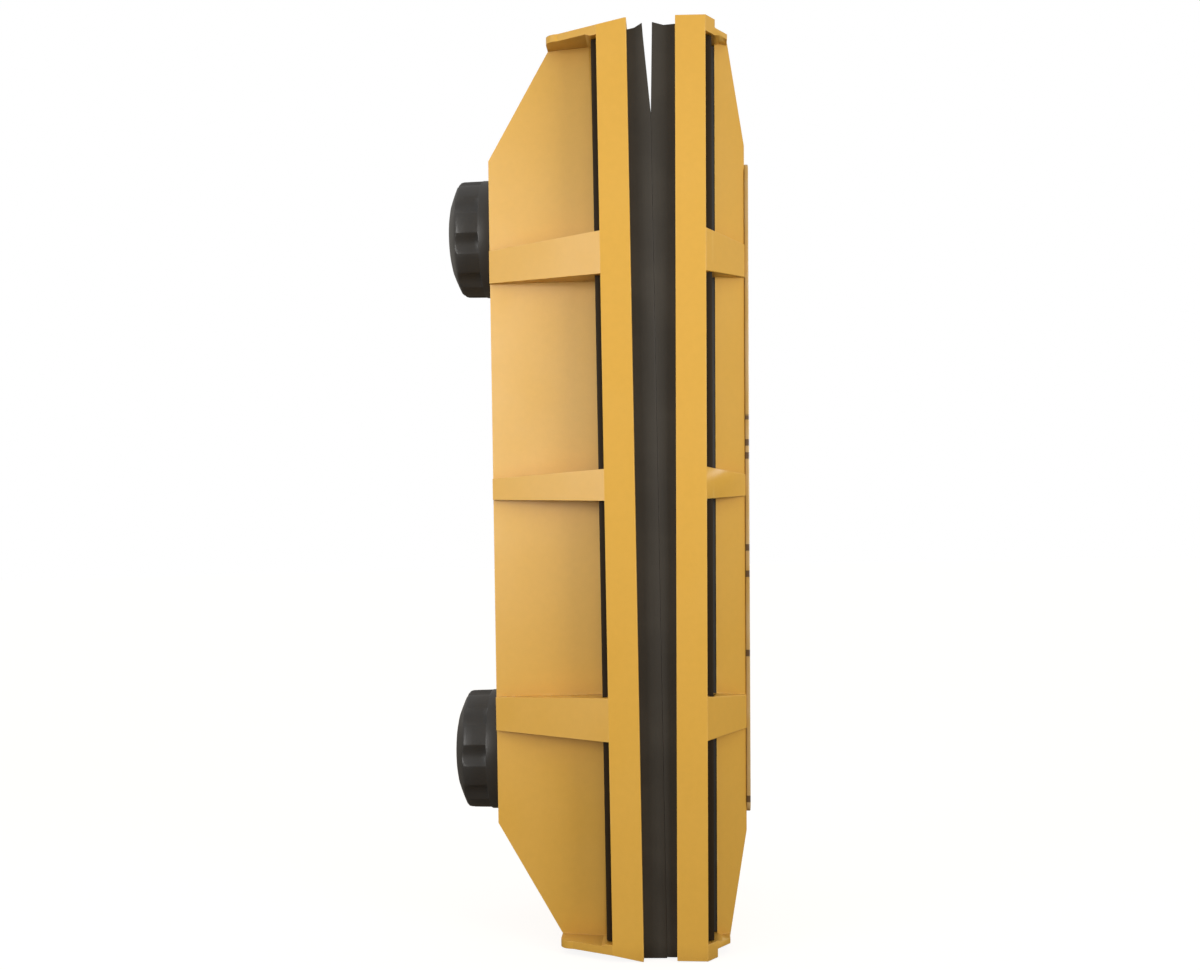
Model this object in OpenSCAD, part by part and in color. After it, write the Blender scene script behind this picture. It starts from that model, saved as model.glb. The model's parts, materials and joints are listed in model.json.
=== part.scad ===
// Double-sided magnetic window cleaner: two plastic halves that grip a pane between them.
// Frame: +Z up along the long axis, X through the pane (inner half at -X), Y across the width.
// Each half is drawn in its own "half frame": +X is the depth behind its rim face, Z is centred.

/* [Overall] */
// Length of each half
body_len = 290; // [270:1:310]
// Width across the two blade rims
body_w = 104; // [100:1:112]
// Wall thickness of the moulded housings
wall = 2.5; // [2:0.1:3]

/* [Inner half] */
// Depth of the inner half from rim face to back face
inner_depth = 46.5; // [44:0.5:50]
// Depth at which the sloped ends of the inner half begin
inner_slope_t = 26; // [22:0.5:30]
// Height of the inner blade lip above its rim face
inner_gap = 7.1; // [6:0.1:8]

/* [Outer half] */
// Depth of the outer half from rim face to back face
outer_depth = 22; // [21:0.5:24]
// Depth at which the sloped ends of the outer half begin
outer_slope_t = 16.4; // [15:0.2:18]
// Distance from the pane plane to the outer rim face, at mid length
outer_gap = 5.6; // [5:0.1:7]
// Lean of the outer half away from the pane, top outwards
outer_tilt = 1; // [0.8:0.1:1.2]

/* [Rims and ribs] */
// Depth of the blade rim along each long edge
rim_t = 9.4; // [9:0.2:10]
// Thickness of the rim's front wall
rim_wall = 3.4; // [3:0.1:4]
// Width of the inner half's drain slots, between rim and recess wall
slot_w = 2; // [1.6:0.1:2.4]
// Width of the outer half's drain slots
outer_slot_w = 3; // [2.6:0.1:3.4]
// Distance from mid length to the two outer ribs
rib_pitch = 72; // [68:1:76]
// Half length of the inner half's flat back face
back_half_z = 107; // [104:1:108]
// Half length of the outer half's flat back face
outer_back_half_z = 109.6; // [107:0.2:111]
// Half width of the recessed side wall next to the rim
side_y_rim = 38; // [37:0.5:39]
// Half width of the recessed side wall at the back face
side_y_back = 30; // [29:0.5:31]

/* [Adjusting knobs] */
// Distance from mid length to each knob
knob_z = 87.4; // [84:0.2:88]
// Diameter of the knob skirt
knob_d = 40; // [38:0.5:42]
// Height of the knob
knob_h = 16.2; // [16:0.1:18]
// Number of finger flutes round the knob
knob_flutes = 9; // [7:1:11]
// Radius of the spindle journal
spindle_r = 4; // [3.5:0.1:4.5]
// Running clearance of the moving fits, on the radius
run_gap = 0.05; // [0.02:0.01:0.1]
// Pitch of the spindle thread
thread_pitch = 4; // [3:0.5:5]

/* [Soft parts] */
// Clear gap between each half's soft parts and the pane plane
pane_clear = 0.3; // [0.3:0.1:0.6]
// Half width of the wiping pads
pad_half_w = 34; // [30:1:35]
// Distance from mid length to the near end of each pad
pad_z0 = 7; // [6:1:9]
// Distance from mid length to the far end of each pad
pad_z1 = 113; // [108:1:114]

/* [Hidden] */
$fn = 48;

half_len = body_len / 2;
half_w = body_w / 2;
// The sides: +Z is the upper mechanism and -Z the lower one
upper = 1;
lower = -1;
// The blades: the front one is at -Y and the rear one at +Y
front = -1;
rear = 1;

// Depths, all measured behind the rim face
function core_t(depth) = rim_t + (depth == inner_depth ? slot_w : outer_slot_w);
tray_t = rim_t + slot_w;
function back_z(depth) = depth == inner_depth ? back_half_z : outer_back_half_z;
plate_t = 1;
panel = 2.5;
panel_back = plate_t + panel;
lip_low = 5;
lip_high = 4.2;
lip_step = 1.5;
lip_nose_r = 4;
lip_nose_y = 44.5;
inner_end_flat = 0.5;
inner_end_z = half_len - 1.9;
lip_z = half_len - lip_high;
tray_z = half_len - lip_low;
tray_y = half_w - rim_wall;
inner_slope_z = lip_z;
outer_end_t = 12.4;
outer_slope_z = half_len - 2.5;
// Ribs: width at the rim, width at the back, and half width across at the back face
rib_back_y = side_y_back + 1.5;
side_rib = [13.4, 10.6];
mid_rib = [9.8, 6.8];
// Blades: thickness at the root and at the lip, and depth of the root
blade_root = 3;
blade_lip = 1.3;
root_t = 8.4;
lip_end = half_len - 1.6;
relief_z = 116;
inner_relief = 2.4;
outer_relief = 0.9;
// Pads and hook strips
strip = 0.8;
strip_edge = 1.5;
// Screws that hold the base plates
screw_r = 1.5;
screw_head_r = 3;
screw_len = 14;
boss_r = 4;
screw_y = 24;
screw_zs = [-124, 0, 124];
// Magnet carrier: half sizes, front face, floor, back face
car_y = 30;
car_z = 21;
car_front = 4.2;
car_floor = 13;
car_back = 16;
pocket_y = 27;
pocket_z = 18;
yoke = 3;
magnet_in = 5.5;
magnet_clear = 0.4;
ear_dz = 25;
ear_r = 5;
post_r = 2.5;
post_front = 5;
nut_r = 7;
nut_len = 9;
// Spindle, bush and knob along the depth
bush_r = 6;
bush_len = 10;
bush_t = inner_depth - bush_len;
clip_w = 0.8;
clip_gap = 0.15;
spindle_front = 8;
seat_r = 3.4;
knob_t = inner_depth + 0.4;
skirt_h = 4.8;
grip_h = 12.4;
grip_top_r = 19.7;
shoulder_h = 15.4;
shoulder_r = 12.8;
face_r = 8.2;
flute_r = 5;
flute_out = 23.4;
flute_turn_upper = 24;
flute_turn_lower = 9;
cap_r = 7.5;
cap_h = 1.6;
seat_len = 8;
knob_screw_r = 1.6;
knob_screw_head_r = 3.2;
knob_screw_head = 2;
knob_screw_len = 7;
// Label and cord holes
label_t = 1.3;
label_half_w = 30.5;
label_half_z = 104;
inner_cord_r = 2.2;
inner_cord_y = 42.3;
inner_cord_t = 17;
outer_cord_r = 1.6;
outer_cord_y = 40.2;
outer_cord_z = 9;
lug_t = 12.5;
lug_len = 3;
lug_y = 44;
lug_z = 13;

// Half frames to the part's frame: origin at the middle of the whole part's footprint
outer_lift = outer_end_t * sin(outer_tilt) - half_len * (1 - cos(outer_tilt));
x_low = -(inner_gap + knob_t + knob_h);
x_high = outer_gap + (outer_depth + label_t) * cos(outer_tilt) + label_half_z * sin(outer_tilt);
frame_x = -(x_low + x_high) / 2;

module pane_frame() translate([frame_x, 0, half_len]) children();
module place_inner() pane_frame() translate([-inner_gap, 0, 0]) mirror([1, 0, 0]) children();
module tilt_outer() translate([outer_gap, 0, outer_lift]) rotate([0, outer_tilt, 0]) children();
module place_outer() pane_frame() tilt_outer() children();

// A profile drawn as [depth, height], extruded across the full width
module side_extrude(w) rotate([90, 0, 0]) linear_extrude(w, center = true) children();
// A rod along the depth axis, from depth t0 to t1
module rod(r, t0, t1) translate([t0, 0, 0]) rotate([0, 90, 0]) cylinder(r = r, h = t1 - t0);
// A box from depth t0 to t1, given its half sizes across and along
module slab(t0, t1, y, z) translate([t0, -y, -z]) cube([t1 - t0, 2 * y, 2 * z]);
// Both signs of an offset along Z
module both_z(z) for (s = [-1, 1]) translate([0, 0, s * z]) children();

// Depth profile of the sloped-end core, moved inwards by w
function slope(depth, st, sz) = (back_z(depth) - sz) / (depth - st);
function slope_z(depth, st, sz, t, w) =
    let (m = slope(depth, st, sz)) sz + m * (t - st) - w * sqrt(1 + m * m);
function slope_at(depth, st, sz, z, w) =
    let (m = slope(depth, st, sz)) st + (z - sz + w * sqrt(1 + m * m)) / m;

function core_side(depth, st, sz) = [
    [core_t(depth), -half_len + 1], [core_t(depth), half_len - 1], [st - 0.5, half_len - 1], [st, sz],
    [depth, back_z(depth)], [depth, -back_z(depth)], [st, -sz], [st - 0.5, -half_len + 1]
];
function cavity_side(depth, st, sz) =
    let (tb = depth - wall)
    let (zb = slope_z(depth, st, sz, tb, wall))
    let (te = slope_at(depth, st, sz, tray_z, wall))
    let (t0 = core_t(depth) - 1)
    [[t0, -tray_z], [t0, tray_z], [te, tray_z], [tb, zb], [tb, -zb], [te, -tray_z]];
function core_plan(depth, w, t0) =
    let (m = (side_y_back - side_y_rim) / (depth - core_t(depth)))
    let (d = w * sqrt(1 + m * m))
    let (y0 = side_y_rim + m * (t0 - core_t(depth)) - d)
    let (tb = depth - w)
    let (yb = side_y_rim + m * (tb - core_t(depth)) - d)
    [[t0, -y0], [tb, -yb], [tb, yb], [t0, y0]];

module core(depth, st, sz) {
    intersection() {
        side_extrude(body_w) polygon(core_side(depth, st, sz));
        linear_extrude(body_len, center = true) polygon(core_plan(depth, 0, core_t(depth)));
    }
}

module cavity(depth, st, sz) {
    intersection() {
        side_extrude(body_w) polygon(cavity_side(depth, st, sz));
        linear_extrude(body_len, center = true) polygon(core_plan(depth, wall, core_t(depth) - 1));
    }
}

// Outline across the width that the ribs and the end lips share
module rib_plan(depth) {
    linear_extrude(body_len + 2, center = true)
        polygon([
            [0, -half_w], [rim_t, -half_w], [depth, -rib_back_y],
            [depth, rib_back_y], [rim_t, half_w], [0, half_w]
        ]);
}

module rib(depth, z, w) {
    intersection() {
        rib_plan(depth);
        side_extrude(body_w)
            polygon([
                [0, z - w[0] / 2], [rim_t, z - w[0] / 2], [depth, z - w[1] / 2],
                [depth, z + w[1] / 2], [rim_t, z + w[0] / 2], [0, z + w[0] / 2]
            ]);
    }
}

// End wall of a half, with its full-height part ending at depth end_t
module end_lip(depth, end_t, st, sz) {
    intersection() {
        rib_plan(depth);
        side_extrude(body_w)
            polygon([
                [0, tray_z], [core_t(depth), tray_z], [core_t(depth) + lip_step, lip_z], [st, lip_z], [st, sz],
                [end_t, end_t < st ? sz : half_len], [end_t, half_len], [0, half_len]
            ]);
    }
}

// The moulded shell of a half, without its bosses
module shell(depth, end_t, st, sz) {
    difference() {
        union() {
            slab(0, rim_t, half_w, half_len);
            core(depth, st, sz);
            rib(depth, 0, mid_rib);
            for (s = [-1, 1]) rib(depth, s * rib_pitch, side_rib);
            for (m = [0, 1]) mirror([0, 0, m]) end_lip(depth, end_t, st, sz);
        }
        slab(-1, tray_t, tray_y, tray_z);
        slab(-1, core_t(depth), side_y_rim, tray_z);
        cavity(depth, st, sz);
    }
}

// Screw bosses and other inner columns stop inside the back wall
module inside_core(depth, st, sz) {
    intersection() {
        children();
        union() {
            core(depth, st, sz);
            slab(panel_back, core_t(depth) + 1, side_y_rim - wall, tray_z);
        }
    }
}

module screw_places() {
    for (z = screw_zs) for (s = [-1, 1]) translate([0, s * screw_y, z]) children();
}

module bosses(depth, st, sz) {
    inside_core(depth, st, sz) screw_places() rod(boss_r, panel_back, depth);
}

// Holes for the safety cord: in the inner half's upper lip and in a lug of the outer half
module inner_cord_hole() {
    translate([inner_cord_t, inner_cord_y, lip_z - 1]) cylinder(r = inner_cord_r, h = lip_high + 2);
}

module outer_cord_lug() {
    translate([lug_t, side_y_back, 0]) cube([lug_len, lug_y - side_y_back, lug_z]);
}

module outer_cord_hole() {
    translate([0, outer_cord_y, outer_cord_z]) rod(outer_cord_r, lug_t - 1, lug_t + lug_len + 1);
}

// Outline inside the rounded noses of a lip that ends at depth t
function nose_core(t) = [
    [0, -half_w], [rim_t, -half_w], [t - lip_nose_r, -lip_nose_y], [t - lip_nose_r, lip_nose_r - lip_nose_y],
    [t, lip_nose_r - lip_nose_y], [t, lip_nose_y - lip_nose_r], [t - lip_nose_r, lip_nose_y - lip_nose_r],
    [t - lip_nose_r, lip_nose_y], [rim_t, half_w], [0, half_w]
];

// What the inner half's ends lose: a slant over the rim, then rounded noses on the lips
module inner_end_trim() {
    for (m = [0, 1]) mirror([0, 0, m]) {
        side_extrude(body_w + 2)
            polygon([
                [inner_end_flat, half_len], [rim_t, inner_end_z], [inner_depth, inner_end_z],
                [inner_depth, half_len + 1], [inner_end_flat, half_len + 1]
            ]);
        translate([0, 0, lip_z - 0.1]) linear_extrude(lip_high) difference() {
            translate([rim_t, -half_w - 1]) square([inner_slope_t - rim_t + 1, body_w + 2]);
            union() {
                polygon(nose_core(inner_slope_t));
                for (s = [-1, 1]) translate([inner_slope_t - lip_nose_r, s * (lip_nose_y - lip_nose_r)])
                    circle(lip_nose_r);
            }
        }
    }
}

module inner_housing() {
    color("goldenrod") place_inner() difference() {
        union() {
            shell(inner_depth, inner_slope_t, inner_slope_t, inner_slope_z);
            bosses(inner_depth, inner_slope_t, inner_slope_z);
            inside_core(inner_depth, inner_slope_t, inner_slope_z) both_z(knob_z) {
                rod(bush_r + 4, bush_t, inner_depth);
                both_z(ear_dz) rod(post_r, post_front, inner_depth);
            }
        }
        screw_places() rod(screw_r, 0, plate_t + screw_len);
        both_z(knob_z) rod(bush_r, bush_t - 1, inner_depth + 1);
        inner_cord_hole();
        inner_end_trim();
    }
}

module outer_housing() {
    color("goldenrod") place_outer() difference() {
        union() {
            shell(outer_depth, outer_end_t, outer_slope_t, outer_slope_z);
            outer_cord_lug();
            bosses(outer_depth, outer_slope_t, outer_slope_z);
            inside_core(outer_depth, outer_slope_t, outer_slope_z)
                both_z(knob_z) magnet_seat();
        }
        screw_places() rod(screw_r, 0, plate_t + screw_len);
        outer_cord_hole();
    }
}

// Walled seat that holds a yoke and its magnets in the outer half
module magnet_seat() {
    difference() {
        slab(car_front, outer_depth, pocket_y + 2, pocket_z + 2);
        slab(0, car_floor, pocket_y, pocket_z);
        slab(0, outer_depth - wall, pocket_y - 3, pocket_z - 3);
    }
}

// Shallow lid that closes a housing on its pane side
module base_plate(depth) {
    lid_y = side_y_rim - 0.2;
    lid_z = tray_z - 0.3;
    difference() {
        slab(plate_t, core_t(depth), lid_y, lid_z);
        slab(panel_back, core_t(depth) + 1, lid_y - wall, lid_z - wall);
        screw_places() {
            rod(screw_r + 0.2, 0, core_t(depth));
            rod(screw_head_r + 0.1, 0, plate_t + 1.6);
        }
    }
}

module inner_base_plate() color("dimgray") place_inner() base_plate(inner_depth);
module outer_base_plate() color("dimgray") place_outer() base_plate(outer_depth);

module base_screws() {
    screw_places() difference() {
        union() {
            rod(screw_head_r, plate_t, plate_t + 1.6);
            rod(screw_r, plate_t, plate_t + screw_len);
        }
        for (a = [0, 90]) rotate([a, 0, 0]) slab(plate_t - 1, plate_t + 0.9, 0.4, 1.8);
    }
}

module inner_base_screws() color("silver") place_inner() base_screws();
module outer_base_screws() color("silver") place_outer() base_screws();

// Rubber blade at side s: a tapered lip, long enough to reach depth -reach, on a hooked root
module blade(s, reach) {
    y = tray_y - 0.1;
    linear_extrude(2 * lip_end, center = true)
        polygon([[-reach, s * y], [-reach, s * (y - blade_lip)], [0, s * (y - blade_root)], [0, s * y]]);
    linear_extrude(2 * (tray_z - 0.3), center = true)
        polygon([
            [0, s * y], [root_t, s * y], [root_t, s * (y - blade_root - 1.2)],
            [root_t - 2, s * (y - blade_root - 1.2)], [root_t - 2, s * (y - blade_root)],
            [0, s * (y - blade_root)]
        ]);
}

// Region on one side (s) of the pane plane, with the lips spread apart at the top end
module lip_side(s, clear, relief) {
    side_extrude(body_w)
        polygon([
            [s * 40, -200], [s * clear, -200], [s * clear, relief_z],
            [s * (clear + relief), half_len], [s * (clear + relief), 200], [s * 40, 200]
        ]);
}

module inner_blade(s) {
    color("#2b2b2b") pane_frame() intersection() {
        translate([-inner_gap, 0, 0]) mirror([1, 0, 0]) blade(s, inner_gap);
        lip_side(-1, 0, inner_relief);
    }
}

module outer_blade(s) {
    color("#2b2b2b") pane_frame() intersection() {
        tilt_outer() blade(s, outer_gap + 3);
        lip_side(1, pane_clear, outer_relief);
    }
}

module inner_blade_front() inner_blade(front);
module inner_blade_rear() inner_blade(rear);
module outer_blade_front() outer_blade(front);
module outer_blade_rear() outer_blade(rear);

// Clamp bar that holds a blade against the rim wall; its foot shows in the drain slots
module blade_holder(s) {
    y0 = tray_y - 0.1 - blade_root - 0.05;
    y_in = side_y_rim;
    linear_extrude(2 * (tray_z - 0.3), center = true)
        polygon([
            [1.6, s * y0], [root_t - 2.05, s * y0], [root_t - 2.05, s * (y0 - 1.25)],
            [root_t + 0.05, s * (y0 - 1.25)], [root_t + 0.05, s * (tray_y - 0.1)],
            [tray_t - 0.1, s * (tray_y - 0.1)], [tray_t - 0.1, s * y_in], [1.6, s * y_in]
        ]);
}

module inner_blade_holder_front() color("#202020") place_inner() blade_holder(front);
module inner_blade_holder_rear() color("#202020") place_inner() blade_holder(rear);
module outer_blade_holder_front() color("#202020") place_outer() blade_holder(front);
module outer_blade_holder_rear() color("#202020") place_outer() blade_holder(rear);

// Wiping pad and the hook strip under it, at the end s (upper or lower)
module pad_block(s, t0, t1, edge) {
    z0 = pad_z0 + edge;
    z1 = pad_z1 - edge;
    y = pad_half_w - edge;
    translate([t0, -y, s > 0 ? z0 : -z1]) cube([t1 - t0, 2 * y, z1 - z0]);
}

module hook_strip(s) pad_block(s, plate_t - strip, plate_t, strip_edge);

module inner_pad(s) {
    color("whitesmoke") place_inner() pad_block(s, pane_clear - inner_gap, plate_t - strip, 0);
}

module outer_pad(s) {
    color("whitesmoke") pane_frame() intersection() {
        tilt_outer() pad_block(s, -outer_gap - 3, plate_t - strip, 0);
        lip_side(1, pane_clear, 0);
    }
}

module inner_hook_strip_upper() color("gray") place_inner() hook_strip(upper);
module inner_hook_strip_lower() color("gray") place_inner() hook_strip(lower);
module outer_hook_strip_upper() color("gray") place_outer() hook_strip(upper);
module outer_hook_strip_lower() color("gray") place_outer() hook_strip(lower);
module inner_pad_upper() inner_pad(upper);
module inner_pad_lower() inner_pad(lower);
module outer_pad_upper() outer_pad(upper);
module outer_pad_lower() outer_pad(lower);

// Things repeated at the two knob axes of the inner half
module at_knob(s) place_inner() translate([0, 0, s * knob_z]) children();
module at_seat(s) place_outer() translate([0, 0, s * knob_z]) children();

// Sliding cup that carries the magnets towards and away from the pane
module magnet_carrier(s) {
    color("dimgray") at_knob(s) difference() {
        union() {
            slab(car_front, car_back, car_y, car_z);
            both_z(ear_dz) rod(ear_r, car_floor - 3, car_back);
            both_z(car_z + 1) slab(car_floor - 3, car_back, ear_r, 2);
            rod(nut_r + 2.5, car_floor, car_floor + nut_len - 1);
        }
        slab(0, car_floor, pocket_y, pocket_z);
        both_z(ear_dz) rod(post_r + 0.1, 0, car_back + 1);
        rod(nut_r, car_floor - 1, car_floor + nut_len);
    }
}

module magnet_carrier_upper() magnet_carrier(upper);
module magnet_carrier_lower() magnet_carrier(lower);

// Steel plate behind the magnets, open round the spindle
module yoke_plate() {
    difference() {
        slab(car_floor - yoke, car_floor, pocket_y - 0.2, pocket_z - 0.2);
        rod(nut_r + 0.5, 0, car_back);
    }
}

module inner_yoke_upper() color("slategray") at_knob(upper) yoke_plate();
module inner_yoke_lower() color("slategray") at_knob(lower) yoke_plate();
module outer_yoke_upper() color("slategray") at_seat(upper) yoke_plate();
module outer_yoke_lower() color("slategray") at_seat(lower) yoke_plate();

// Pair of block magnets either side of the spindle
module magnet_pair() {
    y1 = pocket_y - 0.6;
    for (s = [-1, 1])
        translate([car_front + magnet_clear, s > 0 ? magnet_in : -y1, -pocket_z + 0.6])
            cube([car_floor - yoke - car_front - magnet_clear, y1 - magnet_in, 2 * pocket_z - 1.2]);
}

module inner_magnets_upper() color("lightsteelblue") at_knob(upper) magnet_pair();
module inner_magnets_lower() color("lightsteelblue") at_knob(lower) magnet_pair();
module outer_magnets_upper() color("lightsteelblue") at_seat(upper) magnet_pair();
module outer_magnets_lower() color("lightsteelblue") at_seat(lower) magnet_pair();

// Brass nut pressed into the carrier; its bore clears the thread crests
module carrier_nut(s) {
    color("gold") at_knob(s) difference() {
        rod(nut_r, car_floor, car_floor + nut_len);
        rod(spindle_r, 0, car_floor + nut_len + 1);
    }
}

module carrier_nut_upper() carrier_nut(upper);
module carrier_nut_lower() carrier_nut(lower);

// Bearing bush in the back wall
module spindle_bush(s) {
    color("ivory") at_knob(s) difference() {
        rod(bush_r, bush_t, inner_depth);
        rod(spindle_r + run_gap, bush_t - 1, inner_depth + 1);
    }
}

module spindle_bush_upper() spindle_bush(upper);
module spindle_bush_lower() spindle_bush(lower);

// Spindle outline as [radius, depth]: thread grooves, journal, then the knob seat
function thread_points(t0, t1, r_top, r_low) = [
    for (i = [0 : floor((t1 - t0) / (thread_pitch / 2)) - 1])
        for (p = [[r_low, 0], [r_top, 0.4], [r_top, 1.2], [r_low, 1.6]])
            [p[0], t0 + i * thread_pitch / 2 + p[1]]
];

module spindle(s) {
    groove_end = bush_t - 3;
    seat_end = knob_t + skirt_h + seat_len - 2;
    color("silver") at_knob(s) rotate([0, 90, 0]) difference() {
        rotate_extrude() polygon(concat(
            [[0, spindle_front], [spindle_r - 0.9, spindle_front]],
            thread_points(spindle_front + 0.2, groove_end, spindle_r - 0.1, spindle_r - 0.7),
            [[spindle_r - 0.7, groove_end], [spindle_r, groove_end + 0.5],
             [spindle_r, knob_t], [seat_r, knob_t], [seat_r, seat_end], [0, seat_end]]
        ));
        translate([0, 0, seat_end - knob_screw_len]) cylinder(r = knob_screw_r, h = knob_screw_len + 1);
    }
}

module spindle_upper() spindle(upper);
module spindle_lower() spindle(lower);

// Retaining clip on the spindle, just inside the bush
module spindle_clip(s) {
    color("silver") at_knob(s) difference() {
        rod(bush_r + 1, bush_t - clip_gap - clip_w, bush_t - clip_gap);
        rod(spindle_r, 0, bush_t);
    }
}

module spindle_clip_upper() spindle_clip(upper);
module spindle_clip_lower() spindle_clip(lower);

// Outline of the knob's grip as [radius, height]: upright, then a shoulder and a low crown
function knob_profile() = [
    [0, 0], [knob_d / 2, 0], [knob_d / 2, skirt_h], [grip_top_r, grip_h],
    [shoulder_r, shoulder_h], [face_r, knob_h], [0, knob_h]
];

// Fluted knob: round skirt below, finger flutes above, screwed onto the spindle seat
module knob(s) {
    seat_end = skirt_h + seat_len - 2;
    color("#252525") at_knob(s) translate([knob_t, 0, 0]) rotate([0, 90, 0]) difference() {
        union() {
            cylinder(d = knob_d, h = skirt_h, $fn = 96);
            difference() {
                rotate_extrude($fn = 96) polygon(knob_profile());
                for (i = [0 : knob_flutes - 1])
                    rotate([0, 0, (i + 0.5) * 360 / knob_flutes + (s > 0 ? flute_turn_upper : flute_turn_lower)])
                        translate([flute_out, 0, skirt_h]) cylinder(r = flute_r, h = knob_h);
            }
        }
        translate([0, 0, -1]) cylinder(r = seat_r, h = seat_end + 1);
        cylinder(r = knob_screw_r, h = knob_h);
        translate([0, 0, seat_end + 1.5]) cylinder(r = knob_screw_head_r + 0.3, h = knob_h);
        translate([0, 0, knob_h - cap_h]) cylinder(r = cap_r, h = cap_h + 1);
    }
}

module knob_upper() knob(upper);
module knob_lower() knob(lower);

// Screw that ties the knob to its spindle
module knob_screw(s) {
    head_t = knob_t + skirt_h + seat_len - 2 + 1.5;
    color("silver") at_knob(s) difference() {
        union() {
            rod(knob_screw_r, head_t - 1.5 - knob_screw_len, head_t);
            rod(knob_screw_head_r, head_t, head_t + knob_screw_head);
        }
        rotate([45, 0, 0]) slab(head_t + 1, head_t + 3, 0.5, 2.2);
    }
}

module knob_screw_upper() knob_screw(upper);
module knob_screw_lower() knob_screw(lower);

module knob_cap(s) {
    color("#303030") at_knob(s) rod(cap_r, knob_t + knob_h - cap_h, knob_t + knob_h);
}

module knob_cap_upper() knob_cap(upper);
module knob_cap_lower() knob_cap(lower);

// Printed label panel over the back face of the outer half
module outer_label() {
    color("lightgray") place_outer()
        slab(outer_depth, outer_depth + label_t, label_half_w, label_half_z);
}

inner_housing();
inner_base_plate();
inner_base_screws();
inner_blade_front();
inner_blade_rear();
inner_blade_holder_front();
inner_blade_holder_rear();
inner_hook_strip_upper();
inner_hook_strip_lower();
inner_pad_upper();
inner_pad_lower();
magnet_carrier_upper();
magnet_carrier_lower();
inner_yoke_upper();
inner_yoke_lower();
inner_magnets_upper();
inner_magnets_lower();
carrier_nut_upper();
carrier_nut_lower();
spindle_bush_upper();
spindle_bush_lower();
spindle_upper();
spindle_lower();
spindle_clip_upper();
spindle_clip_lower();
knob_upper();
knob_lower();
knob_screw_upper();
knob_screw_lower();
knob_cap_upper();
knob_cap_lower();
outer_housing();
outer_base_plate();
outer_base_screws();
outer_blade_front();
outer_blade_rear();
outer_blade_holder_front();
outer_blade_holder_rear();
outer_hook_strip_upper();
outer_hook_strip_lower();
outer_pad_upper();
outer_pad_lower();
outer_yoke_upper();
outer_yoke_lower();
outer_magnets_upper();
outer_magnets_lower();
outer_label();
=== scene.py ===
"""Magnetic window cleaner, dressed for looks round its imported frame.

Two yellow moulded halves face each other across the pane plane. Each carries rubber squeegee
blades in its long rims, wiping pads and magnets. The inner half has two black knobs that draw
its magnets back, and the outer half has a printed label panel. Every length is in metres.
"""

import json
import logging
import math
from contextlib import contextmanager
from dataclasses import dataclass, field
from enum import Enum
from typing import Any, Callable, Iterator, Sequence

import bmesh
import bpy
from mathutils import Matrix, Vector


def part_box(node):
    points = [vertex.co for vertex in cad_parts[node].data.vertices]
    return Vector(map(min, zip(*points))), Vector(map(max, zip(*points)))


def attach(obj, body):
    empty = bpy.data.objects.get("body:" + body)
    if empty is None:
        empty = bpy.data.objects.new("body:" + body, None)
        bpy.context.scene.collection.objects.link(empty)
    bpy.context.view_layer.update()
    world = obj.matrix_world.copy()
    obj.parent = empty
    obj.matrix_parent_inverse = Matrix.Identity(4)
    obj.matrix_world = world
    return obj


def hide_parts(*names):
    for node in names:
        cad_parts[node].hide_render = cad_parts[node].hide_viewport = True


LOG = logging.getLogger("window_cleaner")
MM = 0.001
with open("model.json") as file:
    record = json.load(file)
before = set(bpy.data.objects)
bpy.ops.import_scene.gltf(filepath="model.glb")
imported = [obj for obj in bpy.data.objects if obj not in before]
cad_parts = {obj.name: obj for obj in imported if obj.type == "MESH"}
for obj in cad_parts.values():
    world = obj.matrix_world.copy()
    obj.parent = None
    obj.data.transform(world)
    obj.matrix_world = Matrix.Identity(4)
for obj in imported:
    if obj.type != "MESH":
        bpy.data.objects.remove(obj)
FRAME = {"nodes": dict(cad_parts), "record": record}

Colour = tuple[float, float, float]
Point = tuple[float, float, float]


class Side(Enum):
    """The two long edges of a half, as the sign of Y."""

    FRONT = -1
    REAR = 1


class Level(Enum):
    """The two magnet stations, as the sign of the height from mid length."""

    UPPER = 1
    LOWER = -1


@dataclass(frozen=True)
class Sizes:
    """The part's own sizes that its box alone does not tell.

    Attributes:
        half_len: Half length of a half.
        half_w: Half width of a half.
        inner_gap: Distance from the inner half's rim face to the pane plane.
        inner_depth: Depth of the inner half, from its rim face to its back face.
        outer_depth: The same for the outer half.
        label_depth: Depth at which the outer half's label ends.
        tray_y: Half width of the opening that holds the blades and pads.
        tray_z: Half length of that opening.
        side_y_rim: Half width of the recessed walls beside the drain slots.
        side_y_back: Half width of the recessed walls at the back face.
        blade_root: Thickness of a blade where it leaves the housing.
        blade_lip: Thickness of a blade at its lip.
        root_t: Depth at which a blade's root ends.
        lip_end: Half length of a blade's lip before its ends are shaped.
        relief_z: Height from mid length above which the lips part.
        inner_relief: How far the inner half's lips stand back at the top.
        outer_relief: The same for the outer half.
        knob_z: Height of the knobs' axes from mid length.
        knob_base: Depth at which the knobs begin.
        lips_apart: Distance from a lip to the pane plane.
    """

    half_len: float = 145.0 * MM
    half_w: float = 52.0 * MM
    inner_gap: float = 7.1 * MM
    inner_depth: float = 46.5 * MM
    outer_depth: float = 22.0 * MM
    label_depth: float = 23.3 * MM
    tray_y: float = 48.6 * MM
    tray_z: float = 140.0 * MM
    side_y_rim: float = 38.0 * MM
    side_y_back: float = 30.0 * MM
    blade_root: float = 3.0 * MM
    blade_lip: float = 1.3 * MM
    root_t: float = 8.4 * MM
    lip_end: float = 143.4 * MM
    relief_z: float = 116.0 * MM
    inner_relief: float = 2.4 * MM
    outer_relief: float = 0.9 * MM
    knob_z: float = 87.4 * MM
    knob_base: float = 46.9 * MM
    lips_apart: float = 0.005 * MM


SIZES = Sizes()


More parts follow.
